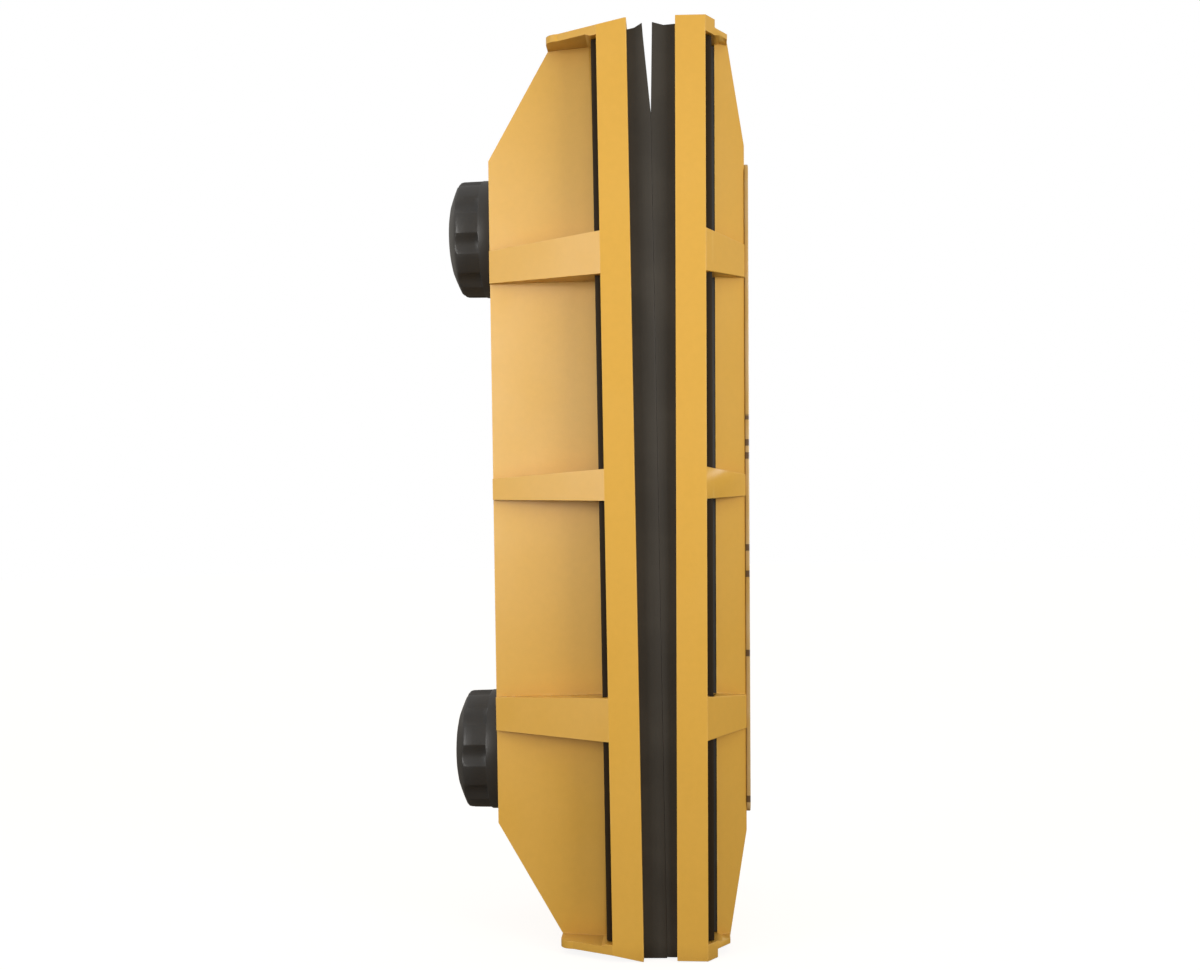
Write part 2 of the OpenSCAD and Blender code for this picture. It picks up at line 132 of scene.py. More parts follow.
@dataclass(frozen=True)
class HalfFrame:
    """The frame that a half is modelled in: +X is depth behind its rim face, Z is centred.

    Attributes:
        name: The half's name, inner or outer.
        body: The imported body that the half's pieces ride on.
        matrix: Half frame to part frame.
        depth: Depth of the half's back face.
        core_t: Depth at which its recessed walls begin, behind the drain slots.
    """

    name: str
    body: str
    matrix: Matrix
    depth: float
    core_t: float

    def place(self, point: Point) -> Vector:
        """Returns a point of the half frame in the part frame."""
        return self.matrix @ Vector(point)


def mount_named(name: str) -> dict[str, Any]:
    """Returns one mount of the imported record."""
    return next(m for m in FRAME["record"]["mounts"] if m["name"] == name)


def inner_frame() -> HalfFrame:
    """Returns the inner half's frame, whose depth runs towards -X."""
    low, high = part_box("inner_housing")
    origin = Vector((high.x, 0.0, (low.z + high.z) / 2))
    turn = Matrix.Rotation(math.pi, 4, "Z")
    matrix = Matrix.Translation(origin) @ turn
    return HalfFrame("inner", "inner_half", matrix, SIZES.inner_depth, 11.4 * MM)


def outer_frame() -> HalfFrame:
    """Returns the outer half's frame, which leans with its label face."""
    face = mount_named("label_face")
    axis = Vector(face["axis"])
    tilt = math.atan2(-axis.z, axis.x)
    origin = Vector(face["pos_m"]) - axis * SIZES.label_depth
    turn = Matrix.Rotation(tilt, 4, "Y")
    matrix = Matrix.Translation(origin) @ turn
    return HalfFrame("outer", "outer_half", matrix, SIZES.outer_depth, 12.4 * MM)


# ---------------------------------------------------------------------------
# Bench: the hand operations that every piece is made with
# ---------------------------------------------------------------------------


def select_only(piece: bpy.types.Object) -> None:
    """Makes one object the only selected one, and the active one."""
    bpy.ops.object.select_all(action="DESELECT")
    piece.select_set(True)
    bpy.context.view_layer.objects.active = piece


@contextmanager
def editing(piece: bpy.types.Object, mode: str = "VERT") -> Iterator[None]:
    """Opens a piece in edit mode with nothing selected.

    Args:
        piece: The mesh object to shape.
        mode: The kind of element to select: VERT, EDGE or FACE.
    """
    select_only(piece)
    bpy.ops.object.mode_set(mode="EDIT")
    bpy.ops.mesh.select_mode(type=mode)
    bpy.ops.mesh.select_all(action="DESELECT")
    yield
    bpy.ops.object.mode_set(mode="OBJECT")


def pick_verts(piece: bpy.types.Object, test: Callable[[Vector], bool]) -> int:
    """Selects, in edit mode, the vertices whose place passes a test.

    Args:
        piece: The object in edit mode.
        test: Takes a vertex's place and says whether to select it.

    Returns:
        How many vertices were selected.
    """
    mesh = bmesh.from_edit_mesh(piece.data)
    count = 0
    for vert in mesh.verts:
        vert.select_set(test(vert.co))
        count += vert.select
    mesh.select_flush(True)
    bmesh.update_edit_mesh(piece.data)
    return count


def pick_faces(piece: bpy.types.Object, test: Callable[[Vector, Vector], bool]) -> int:
    """Selects, in edit mode, the faces whose centre and normal pass a test.

    Args:
        piece: The object in edit mode.
        test: Takes a face's centre and normal.

    Returns:
        How many faces were selected.
    """
    mesh = bmesh.from_edit_mesh(piece.data)
    count = 0
    for face in mesh.faces:
        wanted = test(face.calc_center_median(), face.normal)
        face.select_set(wanted)
        count += wanted
    bmesh.update_edit_mesh(piece.data)
    return count


def shift(x: float = 0.0, y: float = 0.0, z: float = 0.0) -> None:
    """Moves what is selected in edit mode."""
    bpy.ops.transform.translate(value=(x, y, z))


def scale_about(factor: Point, centre: Point = (0.0, 0.0, 0.0)) -> None:
    """Scales what is selected in edit mode about a point."""
    bpy.ops.transform.resize(value=factor, center_override=centre)


def cut_across(piece: bpy.types.Object, at: Point, normal: Point) -> None:
    """Cuts a whole piece along a plane, keeping both sides.

    Args:
        piece: The object, in edit mode; not used, since the cut falls on whatever mesh is in edit
            mode.
        at: A point on the plane.
        normal: The plane's normal.
    """
    bpy.ops.mesh.select_all(action="SELECT")
    bpy.ops.mesh.bisect(plane_co=at, plane_no=normal)
    bpy.ops.mesh.select_all(action="DESELECT")


def apply_modifier(piece: bpy.types.Object, kind: str, **settings: Any) -> None:
    """Adds a modifier with these settings and applies it at once."""
    select_only(piece)
    modifier = piece.modifiers.new(kind.lower(), kind)
    for name, value in settings.items():
        setattr(modifier, name, value)
    bpy.ops.object.modifier_apply(modifier=modifier.name)


def block(name: str, low: Point, high: Point) -> bpy.types.Object:
    """Adds a box between two corners.

    Args:
        name: The new object's name.
        low: The lowest corner.
        high: The highest corner.

    Returns:
        The box, with its size and place in its mesh.
    """
    centre = (Vector(low) + Vector(high)) / 2
    size = Vector(high) - Vector(low)
    bpy.ops.object.select_all(action="DESELECT")
    bpy.ops.mesh.primitive_cube_add(size=1.0, location=centre, scale=size)
    piece = bpy.context.object
    piece.name = name
    bpy.ops.object.transform_apply(location=True, rotation=True, scale=True)
    return piece


def turned(name: str, profile: Sequence[tuple[float, float]], sides: int) -> bpy.types.Object:
    """Turns a solid about Z, ring by ring.

    Args:
        name: The new object's name.
        profile: Rings from the base up, as (radius, height).
        sides: How many sides the solid has.

    Returns:
        The closed solid.
    """
    radius, height = profile[0]
    bpy.ops.object.select_all(action="DESELECT")
    bpy.ops.mesh.primitive_circle_add(
        vertices=sides, radius=radius, fill_type="NGON", location=(0, 0, height)
    )
    piece = bpy.context.object
    piece.name = name
    bpy.ops.object.transform_apply(location=True, rotation=True, scale=True)
    with editing(piece, "FACE"):
        bpy.ops.mesh.select_all(action="SELECT")
        for next_radius, next_height in profile[1:]:
            bpy.ops.mesh.extrude_region_move(
                TRANSFORM_OT_translate={"value": (0, 0, next_height - height)}
            )
            factor = next_radius / radius
            scale_about((factor, factor, 1.0))
            radius, height = next_radius, next_height
        bpy.ops.mesh.select_all(action="SELECT")
        bpy.ops.mesh.normals_make_consistent(inside=False)
    return piece


def settle(piece: bpy.types.Object, matrix: Matrix) -> None:
    """Moves a finished piece to its place in the part and leaves its object at the origin."""
    piece.matrix_world = matrix @ piece.matrix_world
    select_only(piece)
    bpy.ops.object.transform_apply(location=True, rotation=True, scale=True)


def smooth(piece: bpy.types.Object, degrees: float = 35.0) -> None:
    """Shades a piece smooth, except across edges sharper than an angle."""
    select_only(piece)
    bpy.ops.object.shade_smooth_by_angle(angle=math.radians(degrees))


def ease_edges(piece: bpy.types.Object, width: float, degrees: float) -> None:
    """Eases the edges of a piece that turn by more than an angle.

    Args:
        piece: The mesh object.
        width: Width of the eased edges.
        degrees: The angle.
    """
    apply_modifier(
        piece,
        "BEVEL",
        limit_method="ANGLE",
        angle_limit=math.radians(degrees),
        width=width,
        segments=2,
        use_clamp_overlap=True,
    )


def copy_of_node(node: str, name: str) -> bpy.types.Object:
    """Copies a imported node's mesh and merges its loose triangles into whole faces.

    Args:
        node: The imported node's name.
        name: The new piece's name.

    Returns:
        The copy, as a separate object.
    """
    piece = bpy.data.objects.new(name, FRAME["nodes"][node].data.copy())
    bpy.context.scene.collection.objects.link(piece)
    piece.data.materials.clear()
    with editing(piece):
        bpy.ops.mesh.select_all(action="SELECT")
        bpy.ops.mesh.remove_doubles(threshold=0.005 * MM)
        bpy.ops.mesh.dissolve_limited(angle_limit=math.radians(0.5))
    return piece


def round_edges(
    piece: bpy.types.Object, width_of: Callable[[Vector, Vector], float], segments: int
) -> None:
    """Rounds each edge of a piece by its own width.

    Args:
        piece: A mesh of whole faces.
        width_of: Takes an edge's two ends and gives its width.
        segments: How many faces each rounding has.
    """
    mesh = bmesh.new()
    mesh.from_mesh(piece.data)
    widths = []
    for edge in mesh.edges:
        sharp = edge.calc_face_angle(0.0) > math.radians(8)
        widths.append(width_of(edge.verts[0].co, edge.verts[1].co) if sharp else 0.0)
    mesh.free()
    widest = max(widths)
    attribute = piece.data.attributes.new("bevel_weight_edge", "FLOAT", "EDGE")
    attribute.data.foreach_set("value", [w / widest for w in widths])
    apply_modifier(
        piece,
        "BEVEL",
        limit_method="WEIGHT",
        width=widest,
        segments=segments,
        use_clamp_overlap=True,
        miter_outer="MITER_ARC",
    )


# ---------------------------------------------------------------------------
# Effects: node groups that several finishes share
# ---------------------------------------------------------------------------


@dataclass
class NodeBench:
    """A node tree and the short forms that build it.

    Attributes:
        tree: The node tree being built.
        column: How many nodes have been placed, which sets where the next one stands.
    """

    tree: bpy.types.NodeTree
    column: int = 0

    def add(self, kind: str, **settings: Any) -> bpy.types.Node:
        """Adds a node and sets its properties."""
        node = self.tree.nodes.new(kind)
        node.location = (220 * (self.column % 6), -260 * (self.column // 6))
        self.column += 1
        for name, value in settings.items():
            setattr(node, name, value)
        return node

    def link(self, source: bpy.types.NodeSocket, target: bpy.types.NodeSocket) -> None:
        """Joins an output to an input."""
        self.tree.links.new(source, target)

    def math(self, operation: str, a: Any, b: Any = 0.0, clamp: bool = False) -> Any:
        """Adds a Math node.

        Args:
            operation: The node's operation, such as MULTIPLY.
            a: The first value or socket.
            b: The second value or socket.
            clamp: Whether to hold the result between 0 and 1.

        Returns:
            The result's socket.
        """
        node = self.add("ShaderNodeMath", operation=operation, use_clamp=clamp)
        for index, value in enumerate((a, b)):
            self.feed(value, node.inputs[index])
        return node.outputs[0]

    def feed(self, value: Any, target: bpy.types.NodeSocket) -> None:
        """Links a socket to an input, or sets the input to a plain value."""
        if isinstance(value, bpy.types.NodeSocket):
            self.link(value, target)
        else:
            target.default_value = value

    def noise(self, vector: Any, scale: Any, detail: float = 3.0, rough: float = 0.55) -> Any:
        """Adds a Noise texture and returns its factor's socket."""
        node = self.add("ShaderNodeTexNoise")
        self.link(vector, node.inputs["Vector"])
        self.feed(scale, node.inputs["Scale"])
        node.inputs["Detail"].default_value = detail
        node.inputs["Roughness"].default_value = rough
        return node.outputs["Fac"]

    def ramp(self, value: Any, low: float, high: float, to_low: float, to_high: float) -> Any:
        """Maps a range of values to another, clamped, and returns the socket."""
        node = self.add("ShaderNodeMapRange")
        self.feed(value, node.inputs["Value"])
        for name, number in (
            ("From Min", low),
            ("From Max", high),
            ("To Min", to_low),
            ("To Max", to_high),
        ):
            node.inputs[name].default_value = number
        return node.outputs["Result"]

    def stretch(self, vector: Any, scale: Point, turn: Point = (0.0, 0.0, 0.0)) -> Any:
        """Scales and turns coordinates, and returns the socket."""
        node = self.add("ShaderNodeMapping")
        node.inputs["Rotation"].default_value = turn
        node.inputs["Scale"].default_value = scale
        self.link(vector, node.inputs["Vector"])
        return node.outputs["Vector"]

    def shade(self, colour: Any, level: Any) -> Any:
        """Multiplies every channel of a colour by one level, and returns the socket."""
        grey = self.add("ShaderNodeCombineColor")
        for channel in range(3):
            self.link(level, grey.inputs[channel])
        return self.mix(1.0, colour, grey.outputs[0], "MULTIPLY")

    def mix(self, factor: Any, a: Any, b: Any, blend: str = "MIX") -> Any:
        """Mixes two colours.

        Args:
            factor: How much of the second colour shows.
            a: The first colour, as a socket or three numbers.
            b: The second colour, as a socket or three numbers.
            blend: The blend type.

        Returns:
            The mixed colour's socket.
        """
        node = self.add("ShaderNodeMix", data_type="RGBA", blend_type=blend)
        self.feed(factor, node.inputs[0])
        for value, target in ((a, node.inputs[6]), (b, node.inputs[7])):
            self.feed(value if isinstance(value, bpy.types.NodeSocket) else (*value, 1.0), target)
        return node.outputs[2]


def new_group(
    name: str, inputs: Sequence[tuple[str, str, float]], outputs: Sequence[tuple[str, str]]
) -> tuple[bpy.types.NodeTree, NodeBench, bpy.types.Node, bpy.types.Node]:
    """Starts a shader node group.

    Args:
        name: The group's name.
        inputs: Each input as (name, kind, default); the kind is Float or Vector.
        outputs: Each output as (name, kind).

    Returns:
        The group, its bench, its input node and its output node.
    """
    tree = bpy.data.node_groups.new(name, "ShaderNodeTree")
    for label, kind, default in inputs:
        socket = tree.interface.new_socket(
            name=label, in_out="INPUT", socket_type=f"NodeSocket{kind}"
        )
        if kind == "Float":
            socket.default_value = default
    for label, kind in outputs:
        tree.interface.new_socket(name=label, in_out="OUTPUT", socket_type=f"NodeSocket{kind}")
    bench = NodeBench(tree)
    return tree, bench, bench.add("NodeGroupInput"), bench.add("NodeGroupOutput")


class Effects:
    """The shared effects, each built once.

    Attributes:
        grain: Spark-eroded mould texture, as a height.
        wear: Mask of rubbed corners.
        grime_and_shade: Mask of soiling and painted shade in inside corners, from ambient
            occlusion.
        scuffs: Fine random scratches, as a mask.
    """

    def __init__(self) -> None:
        """Builds the four groups."""
        self.grain = self._build_grain()
        self.wear = self._build_wear()
        self.grime_and_shade = self._build_grime_and_shade()
        self.scuffs = self._build_scuffs()

    @staticmethod
    def _give_mask(bench: NodeBench, mask: Any, patches: Any, strength: Any, out: Any) -> None:
        """Sends a mask out of its group, in patches and at a strength.

        Args:
            bench: The group's bench.
            mask: The mask's socket.
            patches: The patches' socket.
            strength: The strength's socket.
            out: The group's output node.
        """
        patchy = bench.math("MULTIPLY", mask, patches)
        bench.link(bench.math("MULTIPLY", patchy, strength, clamp=True), out.inputs["Mask"])

    @staticmethod
    def _build_grain() -> bpy.types.NodeTree:
        """Returns the mould texture group."""
        tree, bench, given, out = new_group(
            "mould_grain",
            [("Vector", "Vector", 0), ("Scale", "Float", 1500.0), ("Waviness", "Float", 0.3)],
            [("Height", "Float")],
        )
        fine = bench.noise(given.outputs["Vector"], given.outputs["Scale"], 2.0, 0.6)
        broad = bench.noise(given.outputs["Vector"], 45.0, 1.0, 0.4)
        broad = bench.math("MULTIPLY", broad, given.outputs["Waviness"])
        bench.link(bench.math("ADD", fine, broad), out.inputs["Height"])
        return tree

    @staticmethod
    def _build_wear() -> bpy.types.NodeTree:
        """Returns the rubbed corner group, which finds edges by their rounded normal."""
        tree, bench, given, out = new_group(
            "corner_wear",
            [("Vector", "Vector", 0), ("Radius", "Float", 0.0008), ("Amount", "Float", 0.5)],
            [("Mask", "Float")],
        )
        bevel = bench.add("ShaderNodeBevel", samples=4)
        bench.link(given.outputs["Radius"], bevel.inputs["Radius"])
        geometry = bench.add("ShaderNodeNewGeometry")
        dot = bench.add("ShaderNodeVectorMath", operation="DOT_PRODUCT")
        bench.link(bevel.outputs["Normal"], dot.inputs[0])
        bench.link(geometry.outputs["True Normal"], dot.inputs[1])
        edge = bench.ramp(dot.outputs["Value"], 0.985, 0.86, 0.0, 1.0)
        patchy = bench.ramp(bench.noise(given.outputs["Vector"], 160.0, 4.0), 0.42, 0.66, 0.0, 1.0)
        Effects._give_mask(bench, edge, patchy, given.outputs["Amount"], out)
        return tree

    @staticmethod
    def _build_grime_and_shade() -> bpy.types.NodeTree:
        """Returns the inside corner group: an ambient occlusion mask, used as soiling and as
        painted shade.
        """
        tree, bench, given, out = new_group(
            "corner_grime_and_shade",
            [("Vector", "Vector", 0), ("Reach", "Float", 0.006), ("Amount", "Float", 0.5)],
            [("Mask", "Float")],
        )
        # Painted shade: ambient occlusion marks the inside corners where shade falls, broken into
        # patches below.
        hidden = bench.add("ShaderNodeAmbientOcclusion", samples=6)
        bench.link(given.outputs["Reach"], hidden.inputs["Distance"])
        dark = bench.ramp(hidden.outputs["AO"], 0.35, 0.95, 1.0, 0.0)
        patchy = bench.ramp(bench.noise(given.outputs["Vector"], 90.0, 4.0), 0.3, 0.7, 0.55, 1.0)
        Effects._give_mask(bench, dark, patchy, given.outputs["Amount"], out)
        return tree

    @staticmethod
    def _build_scuffs() -> bpy.types.NodeTree:
        """Returns the fine scratch group: stretched noise, cut to thin lines."""
        tree, bench, given, out = new_group(
            "scuffs",
            [("Vector", "Vector", 0), ("Density", "Float", 0.5)],
            [("Mask", "Float")],
        )
        masks = []
        for turn, stretch in ((0.4, (900.0, 60.0, 35.0)), (-0.9, (50.0, 800.0, 30.0))):
            lay = bench.stretch(given.outputs["Vector"], stretch, (turn, turn * 0.5, turn * 0.7))
            masks.append(bench.ramp(bench.noise(lay, 1.0, 2.0, 0.5), 0.66, 0.74, 0.0, 1.0))
        both = bench.math("MAXIMUM", masks[0], masks[1])
        patches = bench.ramp(bench.noise(given.outputs["Vector"], 30.0), 0.5, 0.7, 0.0, 1.0)
        Effects._give_mask(bench, both, patches, given.outputs["Density"], out)
        return tree


EFFECTS = Effects()


# ---------------------------------------------------------------------------
# Finishes
# ---------------------------------------------------------------------------


class Finish:
    """What every finish has: a material with one Principled shader, and a node bench."""

    name: str

    def start(self) -> tuple[bpy.types.Material, NodeBench, bpy.types.Node, Any]:
        """Starts a material.

        Returns:
            The material, its bench, its shader node, and the object coordinates' socket.
        """
        material = bpy.data.materials.new(self.name)
        material.use_nodes = True
        bench = NodeBench(material.node_tree)
        bench.tree.nodes.clear()
        shader = bench.add("ShaderNodeBsdfPrincipled")
        out = bench.add("ShaderNodeOutputMaterial")
        bench.link(shader.outputs["BSDF"], out.inputs["Surface"])
        place = bench.add("ShaderNodeTexCoord").outputs["Object"]
        return material, bench, shader, place

    @staticmethod
    def group(bench: NodeBench, tree: bpy.types.NodeTree, place: Any, **values: Any) -> Any:
        """Places an effect group in a material.

        Args:
            bench: The material's bench.
            tree: The effect's group.
            place: The coordinates' socket.
            values: The group's other inputs.

        Returns:
            The group's only output.
        """
        node = bench.add("ShaderNodeGroup", node_tree=tree)
        bench.link(place, node.inputs["Vector"])
        for label, value in values.items():
            bench.feed(value, node.inputs[label])
        return node.outputs[0]

    @staticmethod
    def bump(bench: NodeBench, shader: bpy.types.Node, height: Any, depth: float) -> None:
        """Gives a shader a bump from a height, with its depth in metres."""
        node = bench.add("ShaderNodeBump")
        node.inputs["Strength"].default_value = 1.0
        node.inputs["Distance"].default_value = depth
        bench.link(height, node.inputs["Height"])
        bench.link(node.outputs["Normal"], shader.inputs["Normal"])


@dataclass(frozen=True)
class MouldedPlastic(Finish):
    """Moulded plastic with a fine mould texture, rubbed corners, and soiling with painted shade in
    its inside corners.

    Attributes:
        name: The material's name.
        colour: The plastic's own colour.
        drift: A second colour that shows in broad soft patches.
        worn: Colour of rubbed corners.
        dirt_and_shade: Colour of the soiling and painted shade in inside corners.
        roughness: Mean roughness.
        coat: Weight of a clear gloss over the colour.
        grain_scale: How fine the mould texture is.
        grain_depth: Depth of the mould texture.
        wear: Strength of the rubbed corners.
        grime_and_shade: Strength of the soiling and painted shade in inside corners.
        grime_and_shade_reach: How far from an inside corner the soiling and painted shade reach.
        shine: Strength of its plain reflection.
    """

    name: str
    colour: Colour
    drift: Colour
    worn: Colour
    dirt_and_shade: Colour
    roughness: float = 0.4
    coat: float = 0.0
    grain_scale: float = 1600.0
    grain_depth: float = 0.02 * MM
    wear: float = 0.4
    grime_and_shade: float = 0.4
    grime_and_shade_reach: float = 6.0 * MM
    shine: float = 0.5

    def material(self) -> bpy.types.Material:
        """Returns the finished material."""
        material, bench, shader, place = self.start()
        patches = bench.ramp(bench.noise(place, 14.0, 3.0), 0.35, 0.65, 0.0, 1.0)
        colour = bench.mix(patches, self.colour, self.drift)
        speckle = bench.ramp(bench.noise(place, 420.0, 2.0), 0.3, 0.7, 0.985, 1.012)
        colour = bench.shade(colour, speckle)
        # Painted shade: inside corners are darkened by ambient occlusion, as soiling and shade in
        # one.
        grime_and_shade = self.group(
            bench, EFFECTS.grime_and_shade, place, Reach=self.grime_and_shade_reach, Amount=self.grime_and_shade
        )
        colour = bench.mix(grime_and_shade, colour, self.dirt_and_shade)
        wear = self.group(bench, EFFECTS.wear, place, Amount=self.wear)
        colour = bench.mix(wear, colour, self.worn)
        bench.link(colour, shader.inputs["Base Color"])
        scuffs = self.group(bench, EFFECTS.scuffs, place, Density=0.6)
        rough = bench.ramp(bench.noise(place, 60.0, 4.0), 0.3, 0.7, -0.05, 0.06)
        rough = bench.math("ADD", rough, self.roughness)
        rough = bench.math("ADD", rough, bench.math("MULTIPLY", scuffs, 0.12))
        rough = bench.math("ADD", rough, bench.math("MULTIPLY", grime_and_shade, 0.15), clamp=True)
        bench.link(rough, shader.inputs["Roughness"])
        shader.inputs["Specular IOR Level"].default_value = self.shine
        shader.inputs["Coat Weight"].default_value = self.coat
        shader.inputs["Coat Roughness"].default_value = 0.25
        height = self.group(bench, EFFECTS.grain, place, Scale=self.grain_scale)
        height = bench.math("SUBTRACT", height, bench.math("MULTIPLY", scuffs, 0.5))
        self.bump(bench, shader, height, self.grain_depth)
        return material


@dataclass(frozen=True)
class BladeRubber(Finish):
    """Extruded squeegee rubber: faint lines along its length and a chalky bloom.

    Attributes:
        name: The material's name.
        colour: The rubber's colour.
        bloom: Colour of the pale bloom.
        amount: How much of the bloom shows.
    """

    name: str
    colour: Colour
    bloom: Colour
    amount: float = 0.5

    def material(self) -> bpy.types.Material:
        """Returns the finished material."""
        material, bench, shader, place = self.start()
        lines = bench.noise(bench.stretch(place, (1.0, 1.0, 0.012)), 900.0, 3.0, 0.6)
        clouds = bench.ramp(bench.noise(place, 55.0, 5.0), 0.4, 0.75, 0.0, self.amount)
        bloom = bench.math("MULTIPLY", clouds, bench.ramp(lines, 0.2, 0.8, 0.5, 1.0))
        colour = bench.mix(bloom, self.colour, self.bloom)
        wear = self.group(bench, EFFECTS.wear, place, Radius=0.3 * MM, Amount=0.35)
        colour = bench.mix(wear, colour, self.bloom)
        bench.link(colour, shader.inputs["Base Color"])
        rough = bench.math("ADD", bench.ramp(lines, 0.3, 0.7, -0.06, 0.08), 0.55)
        rough = bench.math("ADD", rough, bench.math("MULTIPLY", bloom, 0.2), clamp=True)
        bench.link(rough, shader.inputs["Roughness"])
        shader.inputs["Specular IOR Level"].default_value = 0.4
        fine = bench.noise(place, 2400.0, 2.0)
        height = bench.math("ADD", lines, bench.math("MULTIPLY", fine, 0.35))
        self.bump(bench, shader, height, 0.03 * MM)
        return material


@dataclass(frozen=True)
class Microfibre(Finish):
    """White microfibre pile: soft tufts, with painted shade in grey between them.

    Attributes:
        name: The material's name.
        tip: Colour at the tips of the fibres.
        tuft_shade: Colour of the painted shade between the tufts, also laid in broad patches.
    """

    name: str
    tip: Colour
    tuft_shade: Colour

    def material(self) -> bpy.types.Material:
        """Returns the finished material."""
        material, bench, shader, place = self.start()
        warped = bench.add("ShaderNodeVectorMath", operation="ADD")
        drift = bench.add("ShaderNodeTexNoise")
        drift.inputs["Scale"].default_value = 260.0
        bench.link(place, drift.inputs["Vector"])
        pull = bench.add("ShaderNodeVectorMath", operation="SCALE")
        pull.inputs["Scale"].default_value = 0.0012
        bench.link(drift.outputs["Color"], pull.inputs[0])
        bench.link(place, warped.inputs[0])
        bench.link(pull.outputs[0], warped.inputs[1])
        tufts = bench.add("ShaderNodeTexVoronoi", feature="F1")
        tufts.inputs["Scale"].default_value = 620.0
        bench.link(warped.outputs[0], tufts.inputs["Vector"])
        fibres = bench.noise(warped.outputs[0], 3200.0, 3.0, 0.7)
        depth = bench.ramp(tufts.outputs["Distance"], 0.1, 0.65, 1.0, 0.0)
        depth = bench.math("ADD", bench.math("MULTIPLY", depth, 0.75), fibres)
        # Painted shade: the pile turns grey where it lies deep between the tufts.
        colour = bench.mix(bench.ramp(depth, 0.3, 1.1, 0.0, 1.0), self.tuft_shade, self.tip)
        wash = bench.ramp(bench.noise(place, 32.0, 4.0), 0.35, 0.7, 0.0, 0.28)
        bench.link(bench.mix(wash, colour, self.tuft_shade), shader.inputs["Base Color"])
        shader.inputs["Roughness"].default_value = 0.95
        shader.inputs["Sheen Weight"].default_value = 0.5
        shader.inputs["Sheen Roughness"].default_value = 0.5
        shader.inputs["Specular IOR Level"].default_value = 0.15
        self.bump(bench, shader, depth, 0.5 * MM)
        return material


@dataclass(frozen=True)
class HookTape(Finish):
    """Hook tape: rows of tiny hooks on a woven strip.

    Attributes:
        name: The material's name.
        colour: The strip's colour.
        tips: Colour of the hooks.
    """

    name: str
    colour: Colour
    tips: Colour

    def material(self) -> bpy.types.Material:
        """Returns the finished material."""
        material, bench, shader, place = self.start()
        hooks = bench.add("ShaderNodeTexVoronoi", feature="F1")
        hooks.inputs["Scale"].default_value = 900.0
        hooks.inputs["Randomness"].default_value = 0.25
        bench.link(place, hooks.inputs["Vector"])
        dots = bench.ramp(hooks.outputs["Distance"], 0.15, 0.45, 1.0, 0.0)
        weave = bench.noise(place, 1800.0, 2.0)
        colour = bench.mix(dots, self.colour, self.tips)
        bench.link(colour, shader.inputs["Base Color"])
        bench.link(bench.ramp(weave, 0.3, 0.7, 0.6, 0.8), shader.inputs["Roughness"])
        self.bump(bench, shader, bench.math("ADD", dots, weave), 0.25 * MM)
        return material


class Lay(Enum):
    """The direction in which a metal's marks run, as a scale on each axis."""

    ALONG_Z = (1.0, 1.0, 0.02)
    ROUND_X = (0.02, 1.0, 1.0)


@dataclass(frozen=True)
class WorkedMetal(Finish):
    """Metal with machining or brushing marks and tarnish.

    Attributes:
        name: The material's name.
        colour: The metal's colour.
        tarnish: Colour of its dull patches.
        lay: The direction of its marks.
        roughness: Mean roughness.
    """

    name: str
    colour: Colour
    tarnish: Colour
    lay: Lay
    roughness: float = 0.3

    def material(self) -> bpy.types.Material:
        """Returns the finished material."""
        material, bench, shader, place = self.start()
        marks = bench.noise(bench.stretch(place, self.lay.value), 2600.0, 3.0, 0.65)
        spots = bench.ramp(bench.noise(place, 180.0, 5.0), 0.45, 0.75, 0.0, 0.7)
        grime_and_shade = self.group(bench, EFFECTS.grime_and_shade, place, Reach=2.0 * MM, Amount=0.5)
        dull = bench.math("MAXIMUM", spots, grime_and_shade)
        bench.link(bench.mix(dull, self.colour, self.tarnish), shader.inputs["Base Color"])
        rough = bench.math("ADD", bench.ramp(marks, 0.3, 0.7, -0.08, 0.1), self.roughness)
        rough = bench.math("ADD", rough, bench.math("MULTIPLY", dull, 0.25), clamp=True)
        bench.link(rough, shader.inputs["Roughness"])
        shader.inputs["Metallic"].default_value = 1.0
        self.bump(bench, shader, marks, 0.015 * MM)
        return material


